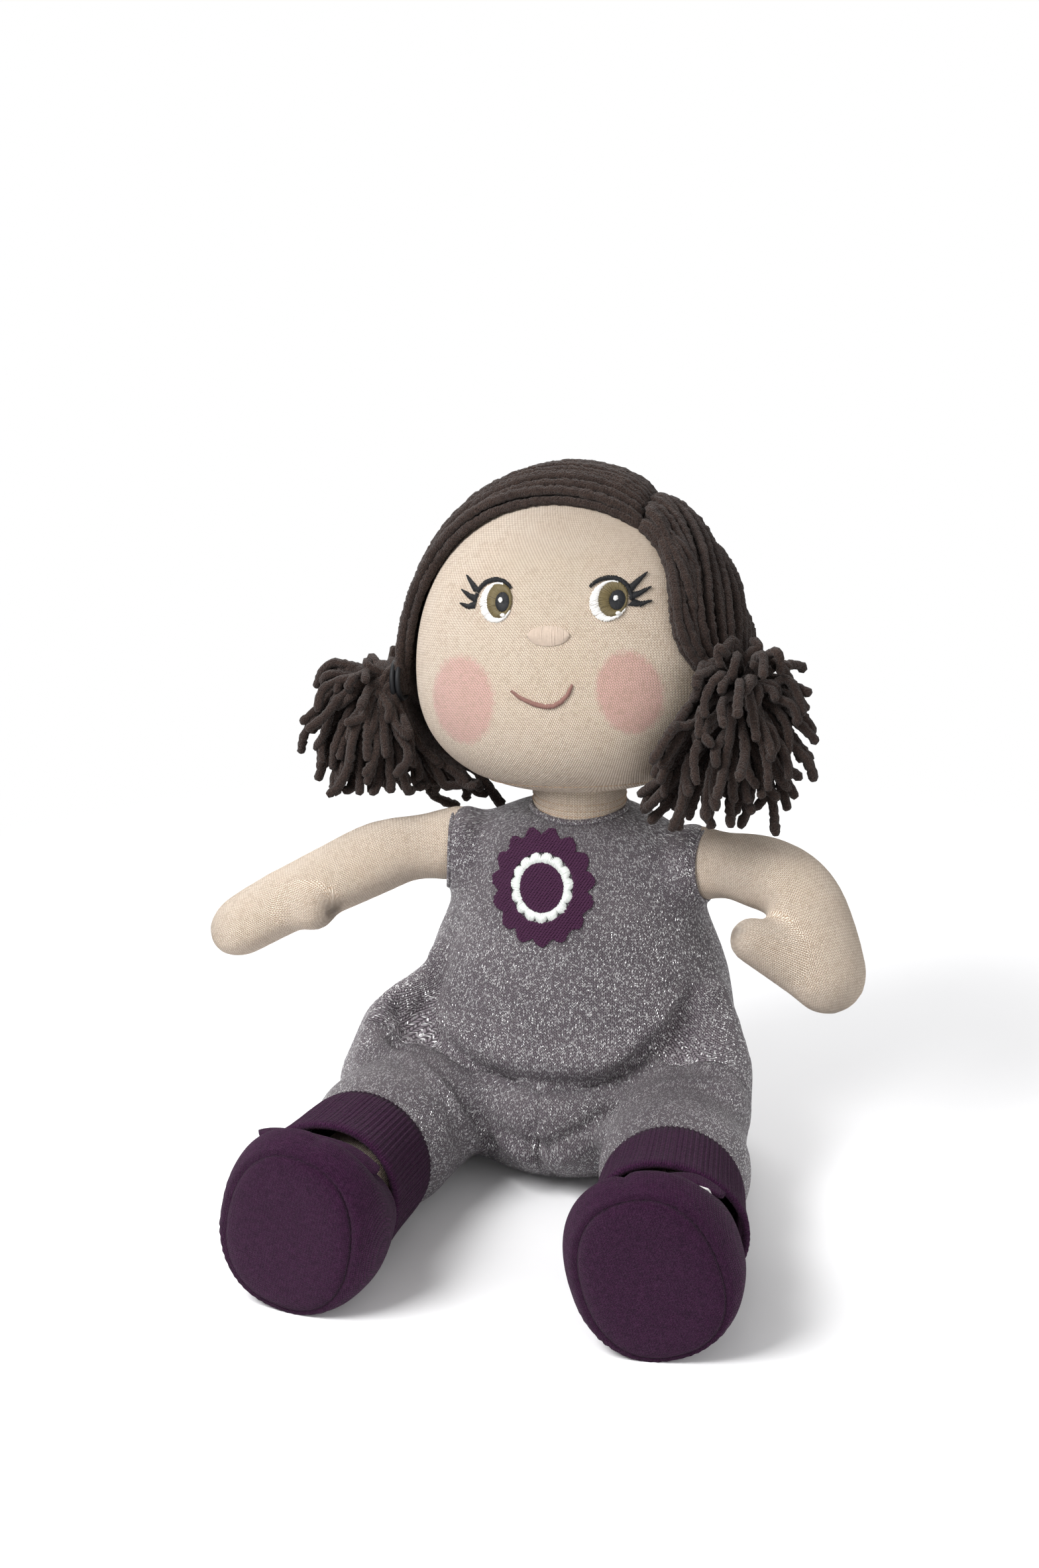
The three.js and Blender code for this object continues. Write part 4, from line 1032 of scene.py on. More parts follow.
def chin_ring(turn, lift):
    """A point on the seam under the chin, from its front."""
    spread = (1 - ((HEAD_MIDDLE.z - CHIN_SEAM) / HEAD_JAW) ** JAW_SQUARE) ** (1 / JAW_SQUARE)
    across = Vector((HEAD_HALF_WIDTH * math.sin(turn), -HEAD_FRONT * math.cos(turn), 0)) * spread
    return from_head(Vector((HEAD_MIDDLE.x, 0, CHIN_SEAM)) + across + across.normalized() * (lift - 0.5))


seam_threads("chin_seam_stitches", [(chin_ring, 200.0, -0.25, 0.25)], "head", 0.24, 0.62, 1.7)

# %% [markdown]
# A romper for a stuffed body is a bag: it bulges over the hips, sinks under the belly and bags
# over each thigh before the cuff gathers it. The bag starts as body, trouser legs and bulges
# fused into one skin, which a short cloth simulation blows up. Folds are raised and creases sunk
# where the photograph shows them. Then it is parted into bodice and trouser legs.

# %% Romper
HIPS = {side: PIVOTS[f"hip_{side}"] for side in ("right", "left")}
SIGN = {"right": -1, "left": 1}
SPLAY = {"right": 8.0, "left": 6.5}
DRIFT = {"right": -2.4, "left": 0.6}
LIFT = 1.6
TROUSER_ROOT, TROUSER_LENGTH = 24.2, 68.0
CLOTH = 1.6


def leg_turn(side):
    """The turn of a leg's own frame, in which it points along -Y."""
    return Matrix.Rotation(math.radians(SIGN[side] * SPLAY[side]), 3, "Z")


def from_leg(side, point):
    """A point of a leg's own frame, in the doll's frame."""
    return HIPS[side] + leg_turn(side) @ Vector(point)


def to_leg(side, point):
    """A point of the doll's frame, in a leg's own."""
    return leg_turn(side).transposed() @ (Vector(point) - HIPS[side])


def leg_stitch(side, point, radius):
    """Where a point lies round a leg and along it."""
    spot = to_leg(side, point)
    turn = math.atan2(spot.x - DRIFT[side], spot.z) / math.tau
    return turn, math.tau * radius, spot.y


def trouser(side):
    """The trouser leg as a tube from inside the hip to its gathered end in the cuff."""
    drift = DRIFT[side]
    path = [(0, TROUSER_ROOT, 0), (0, 0, 0), (0, -28.6, 0)]
    path += [(0.8 * drift, -50.3, LIFT), (drift, -68, LIFT), (drift, -88, LIFT)]
    rows = [[0, 24.2, 24.2], [0.4, 24.4, 24.4], [0.6, 26.4, 26]]
    rows += [[0.72, 28, 27], [0.82, 24.6, 24.4], [1, 23.4, 23.4]]
    return Limb(path, rows, TROUSER_ROOT, 5.0)


DRAPES = [
    [((-55, -16, 66), 7), ((-67, -27, 51), 12), ((-66, -44, 35), 17), ((-60, -58, 28), 18)],
    [((46, -8, 80), 8), ((56, -18, 62), 10), ((61, -30, 46), 13), ((60, -48, 33), 16)],
]


def bag():
    """The romper's outside as one closed skin."""
    bm = bmesh.new()
    add_form(bm, torso_place, 64, 48)
    bmesh.ops.recalc_face_normals(bm, faces=bm.faces)
    grown(bm, lambda vert: 0.4 + CLOTH)
    add_ball(bm, (1, -46, 25), (30, 18, 19))
    for sign in (-1, 1):
        add_ball(bm, (sign * 44, -4, 116.5), (10.5, 17, 17.5))
    for drape in DRAPES:
        for (a, a_size), (b, b_size) in zip(drape, drape[1:]):
            for i in range(6):
                size = a_size + (b_size - a_size) * i / 6
                add_ball(bm, mixed_points(a, b, i / 6), (size, size, size))
    for side in HIPS:
        tube = trouser(side)
        add_form(bm, tube.place, 40, 40, lambda p, side=side: from_leg(side, p))
    return fused(bm, 3.0, 6)


def held_at_edges(point):
    """The romper is sewn or gathered at the neck, the armholes and the cuffs."""
    firm = eased(point.z, 122, 132)
    for side in HIPS:
        away = (point - PIVOTS[f"arm_{side}_swing"]).length
        firm = max(firm, eased(away, 28, 20), eased(-to_leg(side, point).y, 56, 66))
    return max(firm, eased(point.z, 3, 0))


romper_bm = bag()
pressed(romper_bm, held_at_edges, 1.5, 5)
print("the bag has", len(romper_bm.faces), "faces")

# %% Where the romper is cut, and how its stitches run
BODICE_GIRTH, TROUSER_GIRTH = 345.0, 160.0
CREASE = [
    (-62.5, -33.5, 59.5), (-45, -37.4, 48.4), (-27.2, -44.3, 43.7), (-12.2, -49.2, 42.4),
    (4.0, -51.1, 42.7), (18.8, -47.6, 43.7), (29.1, -44.1, 47.6), (40.7, -36.0, 57.2),
    (47.9, -28.0, 66.0),
]


def crease_at(x):
    """How far forward and how high the crease under the belly runs at x."""
    across, front, height = zip(*CREASE)
    return float(np.interp(x, across, front)), float(np.interp(x, across, height))


def lap_edge(x):
    """How far forward the trouser legs begin at the hips."""
    return -34 - 0.1 * abs(x)


def part_of(point):
    """0 for the bodice, 1 for the right trouser leg and 2 for the left one."""
    x, y, z = point
    front, height = crease_at(x)
    if y > lap_edge(x) or (z > height and y > front - 6):
        return 0
    return 1 if x < 0 else 2


def body_columns(point):
    """Columns of stitches run up the body and lean in over the hips and over the shoulders."""
    x, y, z = point
    lean = eased(z, 118, 134)
    hip = 0.8 * eased(abs(x), 40, 60) * eased(z, 86, 70)
    return (-x / 40 * lean - math.copysign(hip, x), 0.2 * (1 - lean) - y / 40 * lean, 1.0)


def leg_columns(point):
    """Columns of stitches run along the leg on its outside, and up it between the legs."""
    return 0, eased(abs(point[0]), 14, 34), 1


def front_turn(point):
    """The turn round the body from its front."""
    return math.atan2(point[0], -point[1]) / math.tau


def straighten(bm, layer, rounds):
    """Smooths the ragged line between the romper's parts, along that line only."""
    beside = {}
    for edge in bm.edges:
        if len({face[layer] for face in edge.link_faces}) > 1:
            for vert in edge.verts:
                beside.setdefault(vert, []).append(edge.other_vert(vert))
    for _ in range(rounds):
        moved = {vert: sum((v.co for v in near), Vector()) / len(near) for vert, near in beside.items()}
        for vert, middle in moved.items():
            vert.co = vert.co.lerp(middle, 0.5)


part_layer = romper_bm.faces.layers.int.new("part")
for face in romper_bm.faces:
    face[part_layer] = part_of(face.calc_center_median() / MM)
bodice_faces = [face for face in romper_bm.faces if face[part_layer] == 0]
lay_evenly(romper_bm, bodice_faces, body_columns, front_turn, BODICE_GIRTH)
for number, side in ((1, "right"), (2, "left")):
    leg_faces = [face for face in romper_bm.faces if face[part_layer] == number]
    round_leg = lambda p: leg_stitch(side, p, 25)[0]
    lay_evenly(romper_bm, leg_faces, leg_columns, round_leg, TROUSER_GIRTH)
bmesh.ops.subdivide_edges(romper_bm, edges=romper_bm.edges, cuts=1, use_grid_fill=True)
soften(romper_bm, 2)
straighten(romper_bm, part_layer, 12)

# %% Folds
FOLDS = [
    (CREASE, 4.2, -4.0),
    ([(x, y - 1, z + 8) for x, y, z in CREASE[1:-1]], 6.5, 2.6),
    ([(x, y - 4, z - 7) for x, y, z in CREASE[1:-2]], 5.0, 1.2),
    ([(-51, -18, 78), (-60.8, -24, 71), (-67, -30, 64), (-71, -40, 55), (-71, -50, 48)], 4.2, 3.0),
    ([(-50, -27, 68), (-56, -30, 57), (-58, -42, 51)], 3.4, -3.0),
    ([(49.9, -25, 74), (44, -31.6, 65), (35, -40, 56), (25, -45.4, 47)], 3.2, -2.6),
    ([(60, -12, 81), (52, -24, 79.5), (42, -31, 78)], 2.8, -2.0),
    ([(60, -14, 75), (53, -25, 73), (46, -31, 71)], 3.2, 1.6),
    ([(-67, -49, 51), (-51, -57, 50), (-37, -68, 46), (-29, -69, 36), (-26, -60, 20)], 3.6, 2.8),
    ([(-61, -44, 52), (-42, -56, 49), (-27, -60, 36), (-20, -56, 17)], 3.2, -3.0),
    ([(-52, -66, 49), (-46, -74, 44), (-44, -80, 34)], 2.8, -2.0),
    ([(-4, -62, 31), (-2, -63, 24), (0, -60, 12), (2, -50, 4)], 1.8, -2.6),
    ([(-30, -61, 39), (-16, -60, 27), (-3, -63, 24)], 2.6, -2.2),
    ([(-26, -63, 33), (-16, -62, 21), (-6, -62, 17)], 2.8, 1.6),
    ([(26, -52, 38), (13, -61, 30), (1, -63, 23)], 2.6, -2.4),
    ([(30, -60, 34), (18, -62, 24), (8, -62, 18)], 3.0, 1.8),
    ([(72, -49, 45), (56, -50, 50), (41, -56, 50), (33, -64, 45), (24, -61, 31)], 3.6, 2.4),
    ([(64, -62, 44), (54, -66, 45), (46, -74, 42), (36, -76, 30)], 2.8, -2.0),
    ([(-40, -20, 92), (-46, -24, 82), (-48, -28, 74)], 4.0, -1.4),
    ([(10, -38, 90), (24, -38, 86), (34, -34, 84)], 4.0, -0.9),
]
for path, width, height in FOLDS:
    swell(romper_bm, path, width, height)
soften(romper_bm, 1)
for vert in romper_bm.verts:
    vert.co.z = max(vert.co.z, 0.2 * MM)
chest_tree = BVHTree.FromBMesh(romper_bm)

# %% [markdown]
# A cut edge of knitting would run, so every opening of the romper is hemmed: a rolled edge is laid
# along the neck and the armholes. The trouser ends vanish in the cuffs.

# %% Openings, hems and the parts of the romper
def cut(bm, at, away):
    """Cuts the mesh by a plane and drops what lies beyond it."""
    geometry = bm.verts[:] + bm.edges[:] + bm.faces[:]
    plane = {"plane_co": Vector(at) * MM, "plane_no": Vector(away)}
    bmesh.ops.bisect_plane(bm, geom=geometry, clear_outer=True, **plane)


def punch(bm, centre, radii):
    """Drops what lies inside an ellipsoid and draws the edge left onto it."""
    centre, radii = np.array(centre, float), np.array(radii, float)

    def depth(vert):
        return float(np.linalg.norm((np.array(vert.co) / MM - centre) / radii))

    bmesh.ops.delete(bm, geom=[vert for vert in bm.verts if depth(vert) < 1], context="VERTS")
    edge = [vert for vert in bm.verts if vert.is_boundary and depth(vert) < 1.4]
    for vert in edge:
        off = np.array(vert.co) / MM - centre
        vert.co = Vector(centre + off / depth(vert)) * MM
    return edge


def hem(name, edge, radius):
    """A rolled edge along an opening's vertices, which lie round its middle."""
    spots = np.array([vert.co for vert in edge]) / MM
    middle = spots.mean(0)
    _, _, axes = np.linalg.svd(spots - middle)
    turns = np.arctan2((spots - middle) @ axes[1], (spots - middle) @ axes[0])
    order = np.argsort(turns)
    line = spots[order]
    for _ in range(16):
        line = (np.roll(line, 1, 0) + line * 2 + np.roll(line, -1, 0)) / 4
    bm = bmesh.new()
    count = len(line)
    travel = travelled(np.vstack([line, line[:1]]))
    layer = bm.loops.layers.uv.new("stitches")
    rings = []
    for i in range(count):
        ahead = Vector(line[(i + 1) % count] - line[i - 1]).normalized()
        out = Vector(line[i] - middle)
        out = (out - ahead * out.dot(ahead)).normalized()
        over = ahead.cross(out)
        ring = []
        for k in range(10):
            turn = math.tau * k / 10
            at = Vector(line[i]) + out * (radius * math.cos(turn)) + over * (radius * math.sin(turn))
            ring.append(bm.verts.new(at * MM))
        rings.append(ring)
    for i in range(count):
        for k in range(10):
            j, m = (i + 1) % count, (k + 1) % 10
            face = bm.faces.new((rings[i][k], rings[i][m], rings[j][m], rings[j][k]))
            girth = radius * math.tau / 10
            corners = ((k, i), (k + 1, i), (k + 1, i + 1), (k, i + 1))
            for loop, (around, step) in zip(face.loops, corners):
                loop[layer].uv = (travel[step], around * girth)
    bmesh.ops.recalc_face_normals(bm, faces=bm.faces)
    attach(piece(name, bm, lurex, "lurex_knit"), "torso")


def add_wall(made, thick):
    """Gives a cloth its thickness, on the inside."""
    wall = made.modifiers.new("cloth", "SOLIDIFY")
    wall.thickness = thick * MM
    wall.offset = -1
    return made


NECK_HOLE = ((0, 0, 140), (18.4, 18.4, 40))
ARM_HOLE, ARM_HOLE_OUT = 16.6, {"right": 10.0, "left": 13.5}
hem("neck_hem", punch(romper_bm, *NECK_HOLE), 1.3)
for side in HIPS:
    shoulder = PIVOTS[f"arm_{side}_swing"]
    outward = {"right": Vector((-0.95, -0.29, -0.12)), "left": Vector((0.93, -0.34, 0.1))}[side]
    edge = punch(romper_bm, shoulder + outward * ARM_HOLE_OUT[side], (ARM_HOLE, ARM_HOLE, ARM_HOLE))
    hem(f"armhole_hem_{side}", edge, 0.9)
    cut(romper_bm, from_leg(side, (0, -TROUSER_LENGTH - 4, 0)), leg_turn(side) @ Vector((0, -1, 0)))
for number, side in ((1, "right"), (2, "left")):
    half = romper_bm.copy()
    layer = half.faces.layers.int["part"]
    bmesh.ops.delete(half, geom=[f for f in half.faces if f[layer] != number], context="FACES")
    made = piece(f"romper_leg_{side}_cloth", half, lurex, "lurex_knit", [f"romper_leg_{side}"])
    add_wall(made, CLOTH)
    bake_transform(made)
bmesh.ops.delete(romper_bm, geom=[f for f in romper_bm.faces if f[part_layer] != 0], context="FACES")
romper = piece("romper", romper_bm, lurex, "lurex_knit", ["romper_bodice"])
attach(add_wall(romper, CLOTH), "torso")
LINING_UNDER = 2.2
lining_bm = ball(96, 64, torso_place)
grown(lining_bm, lambda vert: -LINING_UNDER)
cut(lining_bm, (0, 0, 100), (0, 0, 1))
lay_stitches(lining_bm, torso_stitch)
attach(piece("romper_lining", lining_bm, lurex, "lurex_knit"), "torso")

# %% [markdown]
# The arms are stuffed mittens. Each is a tube with a round thumb sewn to it, and the fingers and
# the wrist come only from how the tube widens and bends.

# %% Arms
ARM_BALL = 14.5
ARM_POINTS = {
    "right": [(-70, -10, 115), (-93, -17, 104.5), (-116, -24, 92.5), (-138, -31, 79)],
    "left": [(66, -10, 120), (84, -18, 117), (94, -27, 104), (104, -38, 77)],
}
THUMBS = {
    "right": [((-112, -24, 97), 11.0), ((-97, -29, 97), 9.5)],
    "left": [((94, -31, 93), 14.0), ((73, -43, 105), 8.5)],
}
ARM_ROWS = [
    [0, 14.5, 14.5], [0.12, 14.5, 14.5], [0.25, 12.4, 12.4], [0.4, 13.8, 13.8], [0.65, 15.5, 12.4],
    [0.85, 15.5, 11.5], [1, 13.95, 10.35],
]


def is_thumb(point, arm, root, tip):
    """Whether a point of the mitten belongs to the thumb's tube."""
    root, tip = Vector(root), Vector(tip)
    share = min(max((point - root).dot(tip - root) / (tip - root).length_squared, 0.0), 1.0)
    from_thumb = (point - root.lerp(tip, share)).length
    from_arm = float(np.linalg.norm(arm.spots - np.array(point), axis=1).min())
    return share > 0.25 and from_thumb < from_arm - 2.5


for side in SIGN:
    shoulder = PIVOTS[f"arm_{side}_swing"]
    first = Vector(ARM_POINTS[side][0])
    start = shoulder - (first - shoulder).normalized() * ARM_BALL
    arm = Limb([tuple(start), tuple(shoulder), *ARM_POINTS[side]], ARM_ROWS, ARM_BALL, 13.8)
    arm_bm = bmesh.new()
    add_form(arm_bm, arm.place, 40, 60)
    (root, root_radius), (tip, tip_radius) = THUMBS[side]
    for i in range(9):
        radius = root_radius + (tip_radius - root_radius) * i / 8
        add_ball(arm_bm, mixed_points(root, tip, i / 8), (radius, radius, radius), 20)
    arm_bm = fused(arm_bm, 2.2, 4)
    thumb = Limb([tuple(root), tuple(mixed_points(root, tip, 0.5)), tuple(tip)], ARM_ROWS, 1.0, 1.0)
    on_thumb = [f for f in arm_bm.faces if is_thumb(f.calc_center_median() / MM, arm, root, tip)]
    lay_stitches(arm_bm, lambda p: arm.stitch(p, 88.0))
    lay_stitches(arm_bm, lambda p: thumb.stitch(p, math.tau * tip_radius), on_thumb)
    bmesh.ops.subdivide_edges(arm_bm, edges=arm_bm.edges, cuts=1, use_grid_fill=True)
    soften(arm_bm, 1)
    made = piece(f"arm_{side}", arm_bm, skin, "skin_knit", [f"arm_{side}_skin"])
    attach(made, f"arm_{side}")
    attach(stuffing(f"arm_{side}_stuffing", f"arm_{side}_filling", 2.5), f"arm_{side}")
    bm = fused(packed(f"arm_{side}_gathering"), 0.8, 3)
    lay_stitches(bm, lambda p: arm.stitch(p, 30.0))
    gathering = piece(f"arm_{side}_knot", bm, skin, "skin_knit", [f"arm_{side}_gathering"])
    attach(gathering, f"shoulder_{side}")

# %% [markdown]
# Legs are plain jersey tubes that vanish into the shoes. Only a sliver of each shows beside the
# strap. Under the trouser the thigh is drawn a little thin, so that it can lift. The cuffs are
# ribbing, knitted so that it pulls in at one end and flares at the other.

# %% Legs and cuffs
LEG_LENGTH, LEG_BALL, LEG_RADIUS = 136.2, 21.4, 19.0
CUFF_FROM, CUFF_TO, CUFF_RADIUS, CUFF_WALL = -68.4, -101.0, 25.0, 2.4
CUFF_REST = 0.3
RIBS = 84
LEG_RADII = [(-LEG_BALL, 21.4), (0, 21.0), (48, 17.4), (70, 16.4), (95, 18.1), (LEG_LENGTH, 19.0)]


def leg_place(unit):
    """A straight leg along -Y of its own frame, with round ends."""
    share, around = on_sphere(unit)
    y = LEG_BALL - share * (LEG_BALL + LEG_LENGTH)
    radius = np.interp(-y, *zip(*LEG_RADII))
    radius *= capped((LEG_BALL - y, LEG_BALL), (y + LEG_LENGTH, 0.6 * LEG_RADIUS))
    return Vector((radius * unit.x / around, y, radius * unit.y / around))


def cuff(side):
    """A ribbed band, gathered at the trouser and loose at its free edge."""
    rings = []
    profile = [(CUFF_FROM, 0.0), (-72, 0.6), (-78, 1.0), (-85, 1.3), (-92, 1.8), (-97, 2.4)]
    profile += [(CUFF_TO, 2.9)]
    outline = [(y, CUFF_RADIUS + flare) for y, flare in profile]
    outline += [(CUFF_TO - 0.8, CUFF_RADIUS + 1.7)]
    outline += [(y, CUFF_RADIUS + flare - CUFF_WALL) for y, flare in reversed(profile)]
    count = RIBS * 4
    for number, (y, radius) in enumerate(outline):
        ring = []
        lowest = CUFF_REST + CUFF_WALL * (number > len(profile))
        for i in range(count):
            turn = math.tau * i / count
            ribbed = radius + (0.28 - 0.2 * eased(-y, 96, 101)) * math.sin(RIBS * turn)
            ribbed += 0.8 * eased(-y, 80, 101) * math.sin(3 * turn + SIGN[side])
            spot = (DRIFT[side] + ribbed * math.cos(turn), y, LIFT + ribbed * math.sin(turn))
            at = from_leg(side, spot)
            at.z = max(at.z, lowest)
            ring.append(at)
        rings.append(ring)
    bm = loft(rings, caps=())
    lay_stitches(bm, lambda p: leg_stitch(side, p, CUFF_RADIUS))
    return bm


for side in SIGN:
    leg_bm = ball(72, 60, lambda unit: from_leg(side, leg_place(unit)))
    lay_stitches(leg_bm, lambda p: leg_stitch(side, p, LEG_RADIUS))
    leg = piece(f"leg_{side}", leg_bm, skin, "skin_knit", [f"leg_{side}_skin"])
    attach(leg, f"leg_{side}")
    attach(stuffing(f"leg_{side}_stuffing", f"leg_{side}_filling"), f"leg_{side}")
    band_piece = piece(f"ribbed_cuff_{side}", cuff(side), rib, "ribbed_cuff", [f"cuff_{side}"])
    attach(band_piece, f"leg_{side}")

# %% [markdown]
# A shoe is an upper of plum fleece that swells from the sole panel and gathers at the ankle, and
# a flat sole panel sewn round its edge. The strap goes over the instep and closes on a white
# square of hook-and-loop tape.

# %% Shoes
SHOE_HEEL, SHOE_TOE, SHOE_HALF = 25.5, 39.0, 29.0
SOLE_THICK, SHOE_DEPTH = 2.0, 33.0
SHOE_MIDDLE = 0.08 * SHOE_TOE
FOOT_ROLL = {"right": 12.0, "left": 18.0}
SOLE_FACE = -LEG_LENGTH - SOLE_THICK - 0.8
UPPER_ROWS = [
    [2.4, 36.3, -24.7, 26.1], [6.7, 38.6, -25.5, 28.1], [12.5, 39.0, -25.5, 29.0],
    [19.8, 32.8, -25.5, 29.0], [27.0, 25.4, -25.0, 27.6], [33.0, 22.6, -24.0, 25.8],
]
UPPER_ROWS = smooth_rows(UPPER_ROWS)


def from_shoe(side, point):
    """A point of a shoe's own frame, in the doll's frame. Its origin is the sole's face."""
    roll = Matrix.Rotation(math.radians(-SIGN[side] * FOOT_ROLL[side]), 3, "Y")
    return from_leg(side, roll @ Vector(point) + Vector((0, SOLE_FACE, 0)))


def to_shoe(side, point):
    """A point of the doll's frame, in a shoe's own."""
    roll = Matrix.Rotation(math.radians(SIGN[side] * FOOT_ROLL[side]), 3, "Y")
    return roll @ (to_leg(side, point) - Vector((0, SOLE_FACE, 0)))


def shoe_ring(row, turn, grow=0.0):
    """The shoe's outline at a row, at a turn from the doll's left over the toe."""
    behind, top, bottom, half = row
    c, s = math.cos(turn), math.sin(turn)
    tall = (top - SHOE_MIDDLE if s > 0 else SHOE_MIDDLE - bottom) + grow
    square = 2 / 2.3
    across = (half + grow) * math.copysign(abs(c) ** square, c)
    return Vector((across, behind, SHOE_MIDDLE + tall * math.copysign(abs(s) ** square, s)))


AROUND = 120
SHOE_LINING = [(1.0, -0.8), (1.3, -2.4), (0.4, -4.0), (-3.0, -4.6), (-12.0, -4.8), (-26.0, -5.0)]


def upper(side):
    """The upper: from under the sole panel's edge, out over the foot, to the rolled ankle edge."""
    rings = []
    rows = [(np.array([2.0, 33.6, -23.2, 22.4]), 0.0), (np.array([0.9, 35.6, -24.5, 24.6]), 0.0)]
    rows += [(read_at(UPPER_ROWS, i / 30), 0.0) for i in range(31)]
    last = rows[-1][0]
    rows += [(last + np.array([on, 0, 0, 0]), inward) for on, inward in SHOE_LINING]
    for row, grow in rows:
        ring = []
        for i in range(AROUND):
            turn = math.tau * i / AROUND
            toe = math.exp(-(((turn - math.pi / 2) / 0.045) ** 2)) * eased(row[0], 4, 9)
            gathers = 0.3 * math.sin(52 * turn) * math.exp(-(((row[0] - 3) / 2.5) ** 2))
            spot = shoe_ring(row, turn, grow - 1.4 * toe + gathers)
            ring.append(from_shoe(side, spot))
        rings.append(ring)
    return loft(rings)


def sole(side):
    """The sole panel: a softly crowned pad inside the upper's seam."""
    rings = []
    edge = np.array([2.0, 34.8, -24.0, 23.4])
    for i in range(16):
        share = 1 - i / 16
        fullness = math.sqrt(max(1 - share**6, 0.0))
        row = np.array([edge[0] - 3.0 * fullness, *(edge[1:] * share)])
        row[1:] += SHOE_MIDDLE * (1 - share) * np.array([1, 1, 0])
        turns = [math.tau * k / AROUND for k in range(AROUND)]
        rings.append([from_shoe(side, shoe_ring(row, turn)) for turn in turns])
    return loft(rings, caps=(-1, 0))


def shoe_stitch(side, point):
    """Columns run from the sole over the foot; on the sole they run up it."""
    spot = to_shoe(side, point)
    return spot.x / 200, 200.0, spot.z + spot.y * 0.6


for side in SIGN:
    for part, bm in (("upper", upper(side)), ("sole", sole(side))):
        lay_stitches(bm, lambda p: shoe_stitch(side, p))
        made = piece(f"shoe_{side}_{part}_fleece", bm, fleece, "shoe_knit", [f"shoe_{side}_{part}"])
        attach(made, f"shoe_{side}")

# %% Straps
STRAP_WIDTH, STRAP_THICK, STRAP_REACH = 6.5, 2.0, 34.0
STRAP_SPAN = {"right": 0.84, "left": 0.78}
STRAP_DROP = {"right": 6.0, "left": 11.0}
strap_row = np.array([SHOE_DEPTH - 0.5 * STRAP_WIDTH - 1, 0.62 * SHOE_TOE, -SHOE_HEEL, 0.92 * SHOE_HALF])
rest = shoe_ring(strap_row, 0.3 * math.pi)
rim = 0.64 * SHOE_TOE + 0.4 + STRAP_THICK / 2


def strap(side):
    """A folded band of fleece, sewn to the inner side, with a round free end."""
    sign = SIGN[side]
    line = [(-sign * (rest.x + 0.4), rest.z + 2.4), (-sign * 0.5 * rest.x, rim), (0, rim + 0.6)]
    line += [(sign * 0.5 * STRAP_REACH, rim - 2)]
    line += [(sign * STRAP_REACH * STRAP_SPAN[side], rim - STRAP_DROP[side])]
    line = smooth_rows(line, 48)
    rings = []
    for i, (x, z) in enumerate(line):
        ahead = Vector(line[min(i + 1, 47)] - line[max(i - 1, 0)]).normalized()
        over = Vector((-ahead.y, ahead.x)) * (1 if sign < 0 else -1)
        left = min(i, 1.5) / 1.5 * min((47 - i) / 5, 1.0)
        half = STRAP_WIDTH / 2 * math.sqrt(max(1 - (1 - left) ** 2, 0.02))
        ring = []
        for k in range(20):
            turn = math.tau * k / 20
            across = half * math.copysign(abs(math.cos(turn)) ** 0.6, math.cos(turn))
            thick = STRAP_THICK / 2 * math.copysign(abs(math.sin(turn)) ** 0.7, math.sin(turn))
            spot = Vector((x - over.x * thick, strap_row[0] + across, z - over.y * thick))
            ring.append(from_shoe(side, spot))
        rings.append(ring)
    bm = loft(rings)
    lay_stitches(bm, lambda p: shoe_stitch(side, p))
    return bm


for side in SIGN:
    made = piece(f"strap_{side}_fleece", strap(side), fleece, "shoe_knit", [f"strap_{side}"])
    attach(made, f"strap_{side}")
    patch_bm = packed(f"strap_patch_{side}")
    patch = piece(f"loop_tape_{side}", patch_bm, tape, "hook_and_loop", [f"strap_patch_{side}"])
    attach(patch, f"shoe_{side}")

# %% [markdown]
# The flower is applied work: a scalloped disc filled with short slanting stitches, and round its
# heart a ring of silver satin stitch. The threads are laid on the romper's own surface, which a
# ray finds, so they follow the chest.

# %% Flower
FLOWER_AT, FLOWER_RADIUS, SCALLOPS = (-7.5, 113.0), 20.3, 15
RING_OUTER, RING_INNER = 0.6 * FLOWER_RADIUS, 0.42 * FLOWER_RADIUS
FLOWER_THREAD = 0.26


def chest_point(x, z, lift):
    """The romper's front at (x, z), lifted off it."""
    spot, out, _, _ = chest_tree.ray_cast(Vector((x, -120, z)) * MM, Vector((0, 1, 0)))
    return spot / MM + out * lift


def scallop(angle, radius, depth):
    """A scalloped edge's distance from the flower's middle."""
    return radius - depth * (1 - abs(math.sin(SCALLOPS * angle / 2)))


def in_petals(x, z):
    """Whether (x, z) is plum: in the petals or the heart, but not on the ring."""
    away, angle = math.hypot(x, z), math.atan2(z, x)
    return away < RING_INNER or RING_OUTER - 0.3 < away < scallop(angle, FLOWER_RADIUS, 2.8)


fill = []
slant = Matrix.Rotation(math.radians(38), 2)
for k in range(-58, 59):
    for j in range(-8, 9):
        shift = (k * 7 % 3) * 1.0
        ends = [slant @ Vector((3.0 * (j + e) + shift, 0.36 * k)) for e in (0, 1)]
        inside = [share / 6 for share in range(7) if in_petals(*ends[0].lerp(ends[1], share / 6))]
        if len(inside) < 2:
            continue
        a, b = ends[0].lerp(ends[1], inside[0]), ends[0].lerp(ends[1], inside[-1])
        a, b = [(FLOWER_AT[0] + e.x, FLOWER_AT[1] + e.y) for e in (a, b)]
        fill.append(satin(a, b, 0.25, 0.75, 0.1, 4, chest_point))
plum_nodes = ["flower_petals", "flower_centre"]
petals = strands("flower_stitches", fill, FLOWER_THREAD, plum_thread, "flower_felt", plum_nodes)
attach(petals, "torso")

